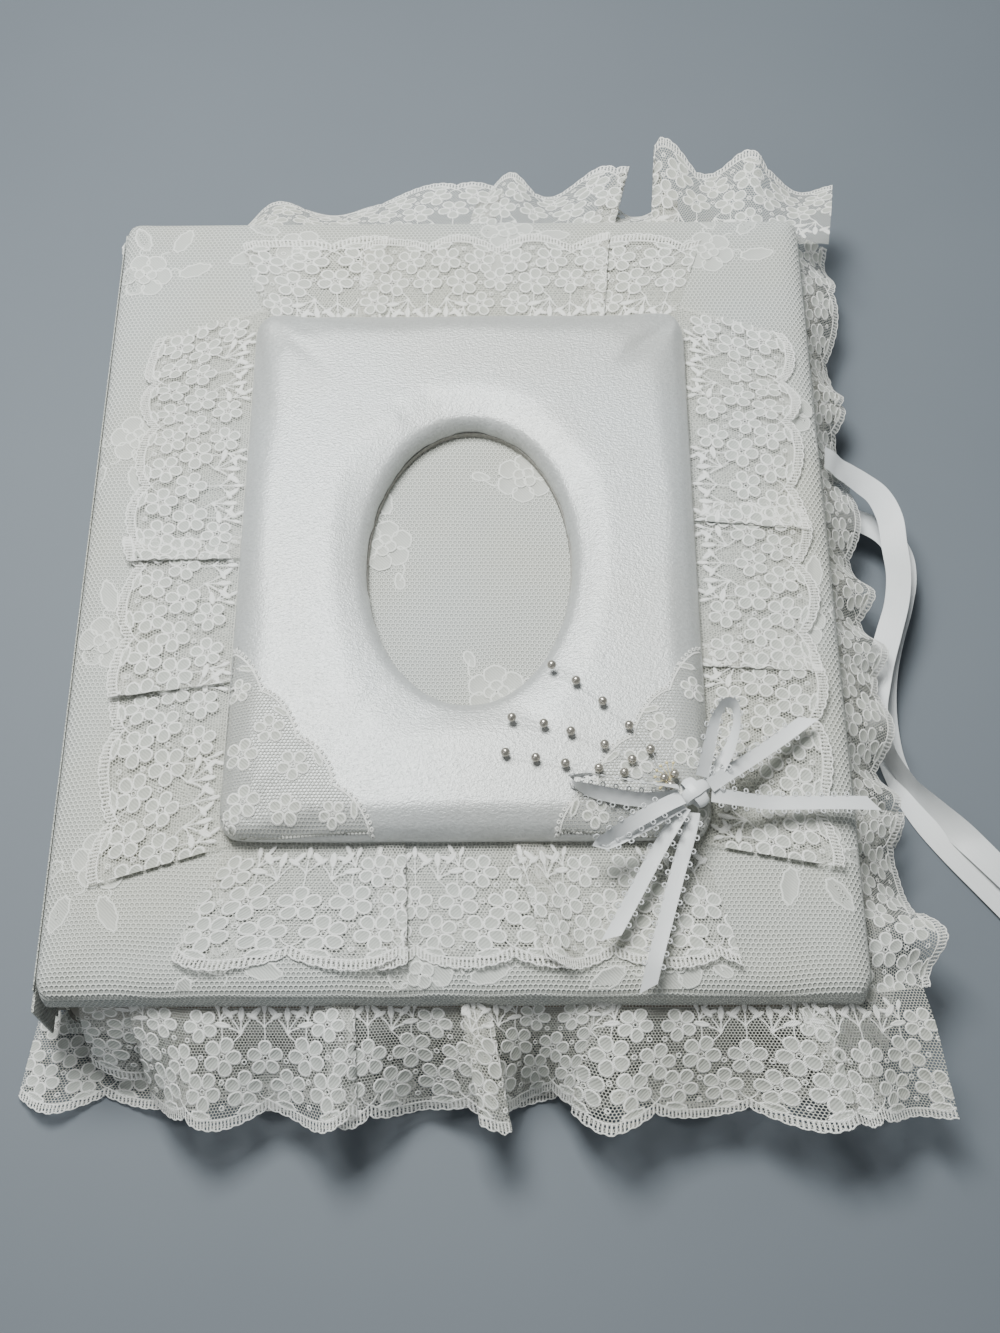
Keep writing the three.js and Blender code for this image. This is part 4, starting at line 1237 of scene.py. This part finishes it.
# %% [markdown]
# ## Four gathered strips round the frame
# Each strip's heading is sewn under the frame's roll and its free edge lies on the cover. The two
# side strips are longer than the frame and lie over the ends of the head and foot strips. The
# folds stand where the sewer tucked the spare length.

# %% Lay the strips round the frame
COVER_TOP = strip_box("front_cover_skin")[1][2]


def frame_strip(node, along, outward, lift, wave, folds, fan, shorten=(0, 0)):
    """One strip on the cover: it starts at its CAD box's inner edge, shortened at the ends."""
    low, high = strip_box(node)
    along, outward = np.array(along), np.array(outward)
    near = np.where(outward > 0, low[:2], high[:2])
    first = np.where(along > 0, low[:2], high[:2])
    start = np.where(np.abs(outward) > 0.5, near, first) + along * shorten[0]
    run = abs(float(np.dot(along, high[:2] - low[:2]))) - sum(shorten)
    reach = (abs(float(np.dot(outward, high[:2] - low[:2]))) - 0.6) / LACE_WIDTH
    levels = (COVER_TOP + lift + 0.3, COVER_TOP + lift, reach)
    place, length = gathered(start, along, outward, run, levels, wave, folds, fan)
    make_gathered_lace(node, "front_cover", place, length)


def lay_frame_lace():
    frame_strip("frame_ruffle_head", (1, 0), (0, 1), 0.3, (1.5, 44),
                [(38, -1, 2, 1.6), (122, 1, 4, 1.8)], (14, 14))
    frame_strip("frame_ruffle_foot", (1, 0), (0, -1), 0.4, (1.7, 48),
                [(52, 1, 2, 1.5), (96, -1, 12, 2.4)], (18, 12))
    frame_strip("frame_ruffle_spine_side", (0, -1), (-1, 0), 1.0, (1.6, 46),
                [(107, 1, 1, 1.5), (155, 1, 7, 1.7)], (-17, 14), (2, 10))
    frame_strip("frame_ruffle_fore_side", (0, -1), (1, 0), 1.0, (1.8, 52),
                [(92, 1, 5, 1.4), (150, 1, 3, 1.5)], (-17, 9), (2, 10))


lay_frame_lace()

# %% [markdown]
# ## Gathered lace on the covers' edges
# The front cover carries a flounce on its head, foot and fore-edge, and the back cover another.
# They are sewn to the inside of the boards, so only the free part shows. At the foot and the
# fore-edge the lace hangs over the side of the album in deep waves, at the head it stands out
# nearly level, and the back cover's lace rests on the table. The spine side has none.

# %% Lay the flounces
def hang(out):
    """How much of the fall is done at each share of the width: level first, then down."""
    return smooth_step((out - 0.12) / 1.05) * 0.75 + 0.25 * out


def flounce(node, body, along, outward, levels, wave, folds, fan, tuck, droop=None,
            spread=((0, 1), (1, 1)), lead=0.0):
    """One edge's lace. The heading is tucked `tuck` mm under the cover's rim, and starts `lead`
    mm early, where the lace turns under at its end."""
    low, high = strip_box(node)
    along, outward = np.array(along), np.array(outward)
    near = np.where(outward > 0, low[:2], high[:2])
    first = np.where(along > 0, low[:2], high[:2])
    start = np.where(np.abs(outward) > 0.5, near, first) - outward * tuck - along * lead
    run = abs(float(np.dot(along, high[:2] - low[:2]))) + lead
    reach = (abs(float(np.dot(outward, high[:2] - low[:2]))) + tuck) / LACE_WIDTH
    place, length = gathered(start, along, outward, run, (*levels, reach), wave, folds, fan, droop,
                             spread)
    make_gathered_lace(node, body, place, length)


def lay_flounces():
    flounce("front_ruffle_foot", "front_cover", (1, 0), (0, -1), (36.6, 16.5), (11.0, 44),
            [(20, 1, 7, 3.0), (84, 1, 1, 3.0), (126, -1, 8, 3.5), (168, 1, -6, 3.5),
             (232, -1, 8, 3.5)], (2, 10), tuck=7.0, droop=hang, lead=26.0,
            spread=((0, 0.45), (0.08, 0.60), (0.15, 0.97), (0.32, 1.0), (0.40, 0.86),
                    (0.47, 1.03), (0.54, 0.74), (0.62, 0.72), (0.69, 1.0), (1, 1.0)))
    flounce("front_ruffle_head", "front_cover", (1, 0), (0, 1), (36.2, 33.0), (9.0, 50),
            [(92, -1, 6, 2.5), (140, 1, 10, 3.0), (166, 1, 3, 4.0)], (10, 6), tuck=8.0,
            spread=((0, 0.66), (0.16, 0.84), (0.34, 0.90), (0.46, 0.93), (0.58, 0.96),
                    (0.65, 0.78), (0.73, 0.76), (0.77, 1.14), (1, 0.90)))
    flounce("front_ruffle_fore", "front_cover", (0, 1), (1, 0), (36.2, 23.5), (7.5, 37),
            [(60, 1, 3, 2.5), (120, 1, 3, 2.5), (236, -1, 3, 3.0)], (-8, 8), tuck=16.0, droop=hang,
            spread=((0, 1.06), (0.06, 1.02), (0.13, 0.84), (0.26, 0.84), (0.45, 0.88), (0.6, 0.78),
                    (0.8, 0.74), (1, 0.84)))
    flounce("back_ruffle_foot", "back_cover", (1, 0), (0, -1), (2.6, 0.9), (5.0, 43),
            [(48, 1, 3, 2.0), (140, 1, 3, 2.0)], (6, 6), tuck=16.0)
    flounce("back_ruffle_head", "back_cover", (1, 0), (0, 1), (2.6, 0.9), (5.0, 47),
            [(80, 1, 3, 2.0), (190, 1, 3, 2.0)], (6, 6), tuck=16.0)
    flounce("back_ruffle_fore", "back_cover", (0, 1), (1, 0), (2.4, 0.9), (3.5, 39),
            [(262, 1, 3, 2.0)], (6, 6), tuck=25.0)


lay_flounces()

# %% [markdown]
# ## Two lace corners on the frame
# A triangle of lace is pulled over each foot corner of the frame and glued beneath. Its slanting
# edge has four scallops, edged with a cord and tiny picots. The same net and flowers are used, and
# the flat drawing is dropped on to the puffed satin.

# %% Make the lace corners
CORNER_SCALLOPS = 4


def corner_point(corner, ends, u, v):
    """A spot on the lace corner: u from the frame's corner to the slanting edge, v along it."""
    slanting = ends[0].lerp(ends[1], v)
    way = slanting - corner
    scallop = 3.4 * abs(math.sin(math.pi * CORNER_SCALLOPS * v)) ** 0.7
    return corner + way * u + way.normalized() * scallop * u


def make_lace_corner(node, side):
    """`side` is -1 for the spine side and 1 for the fore side."""
    low, high = strip_box(node)
    frame_low, frame_high = strip_box("frame_satin")
    edge_x = frame_low[0] + 1.0 if side < 0 else frame_high[0] - 1.0
    corner = Vector((edge_x, frame_low[1] + 1.0))
    ends = (Vector((high[0] if side < 0 else low[0], corner.y)), Vector((edge_x, high[1])))
    net = cloth_grid(1.0, 1.0, 34, 44)
    for vert in net.verts:
        vert.co.xy = corner_point(corner, ends, max(vert.co.x, 0.03), vert.co.y + 0.5)
    flowers = bmesh.new()
    for u, v, size in ((0.34, 0.5, 12.0), (0.55, 0.22, 11.5), (0.55, 0.75, 12.0), (0.80, 0.12, 9.5),
                       (0.78, 0.42, 11.5), (0.80, 0.63, 11.0), (0.80, 0.90, 9.5), (0.14, 0.5, 9.0)):
        lace_flower(flowers, corner_point(corner, ends, u, v), size, 6 * u + 9 * v)
    for k in range(CORNER_SCALLOPS):
        v = (k + 0.5) / CORNER_SCALLOPS
        spot = corner_point(corner, ends, 0.95, v)
        way = math.atan2(*(spot - corner).yx)
        corded_shape(flowers, spot, way + 1.4, 7.0, 2.6, rim=12, point=0.5, teeth=0.2)
    thread_line(flowers, lambda v: corner_point(corner, ends, 0.985, min(v, 1.0)), 64, 0.6)
    for k in range(40):
        thread_ring(flowers, corner_point(corner, ends, 1.006, (k + 0.5) / 40), 0.75, width=0.45)
    for suffix, drawn, finishes, lift in (("_net", net, [CORNER_NET], 0.25),
                                          ("_flowers", flowers, [LACE_CORD, LACE_FILL], 0.22)):
        keep_flat_places(drawn)
        lay(drawn, drop_on(satin_frame, lift))
        finish_piece(node + suffix, drawn, finishes, "front_cover")
    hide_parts(node)
    size = [abs(ends[0].x - corner.x) + 4, abs(ends[1].y - corner.y) + 4]


make_lace_corner("corner_lace_spine_side", -1)
make_lace_corner("corner_lace_fore_side", 1)

# %% [markdown]
# ## Knot, pearls and stamens
# The knot is two short bands of the same ribbon, crossed and wrapped tight, so each is a flat strip
# laid round an oval, with its middle a little plumper than its edges.

# %% Tie the knot
KNOT_AT = (77.7, -95.2, 63.2)


def make_knot():
    knot = bmesh.new()
    for turn, high, wide, width in ((0.62, 3.0, 4.9, 4.6), (-0.95, 2.4, 5.0, 5.0)):
        band = cloth_grid(math.tau, width, 40, 8)
        keep_flat_places(band)
        for vert in band.verts:
            round_about, across = vert.co.x, vert.co.y
            squeeze = 1 - 0.22 * abs(math.cos(round_about))
            plump = 1 + 0.10 * (1 - (2 * across / width) ** 2)
            vert.co = (math.cos(round_about) * wide * plump, across * squeeze,
                       math.sin(round_about) * high * plump)
        bmesh.ops.rotate(band, verts=band.verts, matrix=Matrix.Rotation(turn, 3, "Z"))
        bmesh.ops.translate(band, verts=band.verts, vec=KNOT_AT)
        bmesh.ops.scale(band, verts=band.verts, vec=(MM, MM, MM))
        knot.from_mesh(mesh_of(band, "knot_band"))
    piece = finish_piece("bow_knot_wraps", knot, [RIBBON_SATIN], "front_cover")
    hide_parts("bow_knot")


make_knot()

# %% [markdown]
# The pearls are plastic with a metallic lustre under a clear coat. A Fresnel factor paints a pale
# sheen into their colour where the surface turns away from the view. Line and stamens need only two
# tones.

# %% Mix the finishes of the small hard pieces
def mix_pearl():
    material, tree, shader = new_finish("champagne_pearl", Metallic=0.85, Roughness=0.24,
                                        Coat_Weight=0.8, Coat_Roughness=0.06)
    lustre = add(tree, "TexNoise", {"Vector": object_place(tree), "Scale": 700.0, "Detail": 2.0})
    # painted sheen: the base colour goes paler at glancing view angles, by the Fresnel factor
    painted_rim_sheen = add(tree, "Fresnel", {"IOR": 1.6})
    body_colour = mix_colours(tree, lustre.outputs["Fac"], (0.40, 0.37, 0.32, 1),
                              (0.54, 0.50, 0.44, 1))
    tree.links.new(mix_colours(tree, painted_rim_sheen.outputs["Fac"], body_colour, (0.66, 0.64, 0.62, 1)),
                   shader.inputs["Base Color"])
    bump(tree, shader, lustre.outputs["Fac"], 0.02)
    return material


def mix_clear_line():
    material, tree, shader = new_finish("clear_line", Roughness=0.15, Alpha=0.45)
    haze = add(tree, "TexNoise", {"Vector": object_place(tree), "Scale": 500.0})
    two_tones(tree, shader, haze.outputs["Fac"], (0.60, 0.61, 0.62), (0.78, 0.79, 0.80))
    return material


def mix_stamen():
    material, tree, shader = new_finish("yellow_stamen", Roughness=0.45)
    dust = add(tree, "TexNoise", {"Vector": object_place(tree), "Scale": 1600.0, "Detail": 2.0})
    two_tones(tree, shader, dust.outputs["Fac"], (0.62, 0.50, 0.20), (0.80, 0.72, 0.44))
    bump(tree, shader, dust.outputs["Fac"], 0.06)
    return material


PEARL, CLEAR_LINE, STAMEN = mix_pearl(), mix_clear_line(), mix_stamen()

# %% [markdown]
# The pearls are strung on clear line that is almost lost on the satin. A spray is two pieces: its
# pearls, whose poles are turned sideways as if drilled there, and its line. The line is a flat
# grid rolled into a tube. Seven thread stamens with round yellow heads stand by the knot.

# %% String the pearls
PEARL_RADIUS, LINE_RADIUS = 1.55, 0.13
STAMENS, STAMEN_ROOT, STALK_RADIUS, STAMEN_HEAD = 7, (70.4, -89.6), 0.12, 0.55
SPRAYS = {
    "pearl_spray_1": [(66.2, -84.2), (64.2, -79.2), (57.5, -70.6), (49.1, -61.8), (40.5, -54.2),
                      (32.5, -48.4)],
    "pearl_spray_2": [(64.4, -86.2), (58.1, -82.8), (49.3, -77.4), (38.4, -72.6), (29.6, -69.8),
                      (19.1, -67.6)],
    "pearl_spray_3": [(63.0, -88.6), (55.4, -87.4), (47.2, -85.8), (36.4, -84.0), (26.8, -82.0),
                      (17.0, -80.1)],
}
CLUSTER = [(68.2, -89.4), (71.6, -88.0), (70.2, -92.0)]


def tube_along(points, radius_mm, pieces):
    """A thin round tube along points in metres: a flat grid rolled up, then laid as a ribbon is."""
    place, length = along_ribbon(points, [90, 90])
    tube = cloth_grid(length / MM, 1.0, pieces, 8)
    for vert in tube.verts:
        turn = vert.co.y * math.tau
        vert.co.y, vert.co.z = radius_mm * math.cos(turn), radius_mm * math.sin(turn)
    bmesh.ops.remove_doubles(tube, verts=tube.verts, dist=0.001)
    lay(tube, place)
    bmesh.ops.recalc_face_normals(tube, faces=tube.faces)
    return tube


def add_pearl(string, at):
    """A pearl at a place in metres, with its poles along X."""
    made = bmesh.ops.create_uvsphere(string, u_segments=20, v_segments=12, radius=PEARL_RADIUS * MM)
    bmesh.ops.rotate(string, verts=made["verts"], matrix=Matrix.Rotation(math.pi / 2, 3, "Y"))
    bmesh.ops.translate(string, verts=made["verts"], vec=at)


def string_pearls():
    pearl_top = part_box("pearl_spray_1")[1].z
    height = pearl_top - PEARL_RADIUS * MM
    for node, spots in SPRAYS.items():
        points = [(x * MM, y * MM, height) for x, y in spots]
        string = bmesh.new()
        for point in points[1:]:
            add_pearl(string, point)
        pearls = finish_piece(node + "_pearls", string, [PEARL], "front_cover")
        line = finish_piece(node + "_line", tube_along(points, LINE_RADIUS, 60), [CLEAR_LINE],
                            "front_cover")
        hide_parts(node)
    cluster = bmesh.new()
    for x, y in CLUSTER:
        add_pearl(cluster, (x * MM, y * MM, height))
    piece = finish_piece("pearl_cluster_pearls", cluster, [PEARL], "front_cover")
    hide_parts("pearl_cluster")
    stamens = bmesh.new()
    for k in range(STAMENS):
        way = 1.4 + k * 0.42
        root = Vector((STAMEN_ROOT[0] * MM, STAMEN_ROOT[1] * MM, height - 1.0 * MM))
        tip = root + Vector((math.cos(way) * 5.2, math.sin(way) * 5.2, 1.6 + 0.4 * (k % 2))) * MM
        bend = root.lerp(tip, 0.5) + Vector((0, 0, 0.5 * MM))
        stamens.from_mesh(mesh_of(tube_along([root, bend, tip], STALK_RADIUS, 6), "stalk"))
        head = bmesh.ops.create_uvsphere(stamens, u_segments=8, v_segments=6,
                                         radius=STAMEN_HEAD * MM)
        bmesh.ops.translate(stamens, verts=head["verts"], vec=tip)
    piece = finish_piece("pearl_cluster_stamens", stamens, [STAMEN], "front_cover")


string_pearls()

# %% [markdown]
# ## Spine and hinges
# The spine is a thin board in the same lace and satin, and one length of that cloth runs on over
# both gaps, which is what lets the album open. Each hinge is a narrow strip with a slight bulge.

# %% Cover the spine and its two hinges
HINGE_LENGTH, HINGE_WIDTH, HINGE_BULGE, HINGE_WALL, HALF_GAP = 304.0, 5.6, 0.3, 0.4, 1.6


def make_spine():
    low, high = strip_box("spine_skin")
    slab = rounded_slab(low, high, corner=0.35, roll=0.3)
    bmesh.ops.scale(slab, verts=slab.verts, vec=(MM, MM, MM))
    piece = finish_piece("spine_cloth", slab, [LACE_OVER_SATIN], "spine")
    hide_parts("spine_skin")


def make_hinge(name, level, x):
    """A strip of cloth, bulged outwards, that crosses the gap at `level`, all in mm."""
    cloth = cloth_grid(HINGE_LENGTH, HINGE_WIDTH, 60, 8)
    for vert in cloth.verts:
        along, across = vert.co.x - HINGE_LENGTH / 2, vert.co.y
        bulge = HINGE_BULGE * math.cos(across / HINGE_WIDTH * math.pi)
        vert.co = (x - bulge, -along, level + across)
    bmesh.ops.scale(cloth, verts=cloth.verts, vec=(MM, MM, MM))
    bmesh.ops.recalc_face_normals(cloth, faces=cloth.faces)
    piece = finish_piece(name, cloth, [LACE_OVER_SATIN])
    wall = piece.modifiers.new("wall", "SOLIDIFY")
    wall.thickness, wall.offset = HINGE_WALL * MM, 0
    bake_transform(piece)


make_spine()
spine_low, spine_high = strip_box("spine_skin")
back_high = strip_box("back_cover_skin")[1]
front_low = strip_box("front_cover_skin")[0]
hinge_x = spine_low[0] + 0.7
make_hinge("back_hinge_cloth", (back_high[2] + spine_low[2]) / 2, hinge_x)
make_hinge("front_hinge_cloth", (spine_high[2] + front_low[2]) / 2, hinge_x)

# %% [markdown]
# ## Leaves, linings and the ring mechanism
# These hard parts have their right shape in the CAD already, so they only get a finish. A card leaf
# shows thin layers on its edge, so its bands run with height. The lining paper has a watered
# pattern. The ring plate is nickel, with hair-fine scratches along it. A word in a node's name
# tells which finish it gets.

# %% Finish the parts that stay as the CAD made them
def mix_leaf_card():
    material, tree, shader = new_finish("leaf_card", Roughness=0.85)
    where = object_place(tree)
    layers = add(tree, "TexWave", {"Vector": where, "Scale": 900.0, "Distortion": 1.0},
                 bands_direction="Z")
    fibres = add(tree, "TexNoise", {"Vector": where, "Scale": 380.0, "Detail": 5.0})
    mottle = mix_colours(tree, fibres.outputs["Fac"], (0.34, 0.275, 0.215, 1),
                         (0.46, 0.385, 0.31, 1))
    tree.links.new(shade_by(tree, mottle, layers.outputs["Fac"], 0.82), shader.inputs["Base Color"])
    bump(tree, shader, fibres.outputs["Fac"], 0.08)
    return material


def mix_watered_paper():
    material, tree, shader = new_finish("watered_lining", Roughness=0.55, Sheen_Weight=0.2)
    where = object_place(tree)
    stretched = add(tree, "VectorMath", {0: where, 1: (1.0, 0.25, 1.0)}, operation="MULTIPLY")
    water = add(tree, "TexWave", {"Vector": stretched.outputs[0], "Scale": 28.0, "Distortion": 9.0,
                                  "Detail": 3.0, "Detail Scale": 2.0})
    colour = ivory(tree, where, (0.66, 0.65, 0.61), (0.60, 0.58, 0.52))
    tree.links.new(shade_by(tree, colour, water.outputs["Fac"], 0.88), shader.inputs["Base Color"])
    bump(tree, shader, water.outputs["Fac"], 0.08)
    return material


def mix_nickel():
    material, tree, shader = new_finish("nickel_plate", Metallic=1.0)
    where = object_place(tree)
    drawn_out = add(tree, "VectorMath", {0: where, 1: (60.0, 1.0, 60.0)}, operation="MULTIPLY")
    scratches = add(tree, "TexNoise", {"Vector": drawn_out.outputs[0], "Scale": 60.0, "Detail": 4.0})
    two_tones(tree, shader, scratches.outputs["Fac"], (0.50, 0.49, 0.47), (0.66, 0.65, 0.63))
    gloss = add(tree, "MapRange", {"Value": scratches.outputs["Fac"], "To Min": 0.16,
                                   "To Max": 0.42})
    tree.links.new(gloss.outputs[0], shader.inputs["Roughness"])
    bump(tree, shader, scratches.outputs["Fac"], 0.01)
    return material


def mix_grey_board():
    material, tree, shader = new_finish("grey_board", Roughness=0.9)
    flecks = add(tree, "TexVoronoi", {"Vector": object_place(tree), "Scale": 900.0})
    two_tones(tree, shader, flecks.outputs["Distance"], (0.20, 0.19, 0.175), (0.36, 0.35, 0.32))
    bump(tree, shader, flecks.outputs["Distance"], 0.1)
    return material


LEAF_CARD, WATERED_PAPER = mix_leaf_card(), mix_watered_paper()
NICKEL, GREY_BOARD = mix_nickel(), mix_grey_board()


def finish_cad_parts():
    finish_of = {"leaf": LEAF_CARD, "lining": WATERED_PAPER, "ring": NICKEL, "rivet": NICKEL,
                 "board": GREY_BOARD}
    done = 0
    for name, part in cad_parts.items():
        for word, finish in finish_of.items():
            if word in name:
                for place in part.material_slots:
                    place.material = finish
                done += 1
    print("parts finished:", done)


finish_cad_parts()
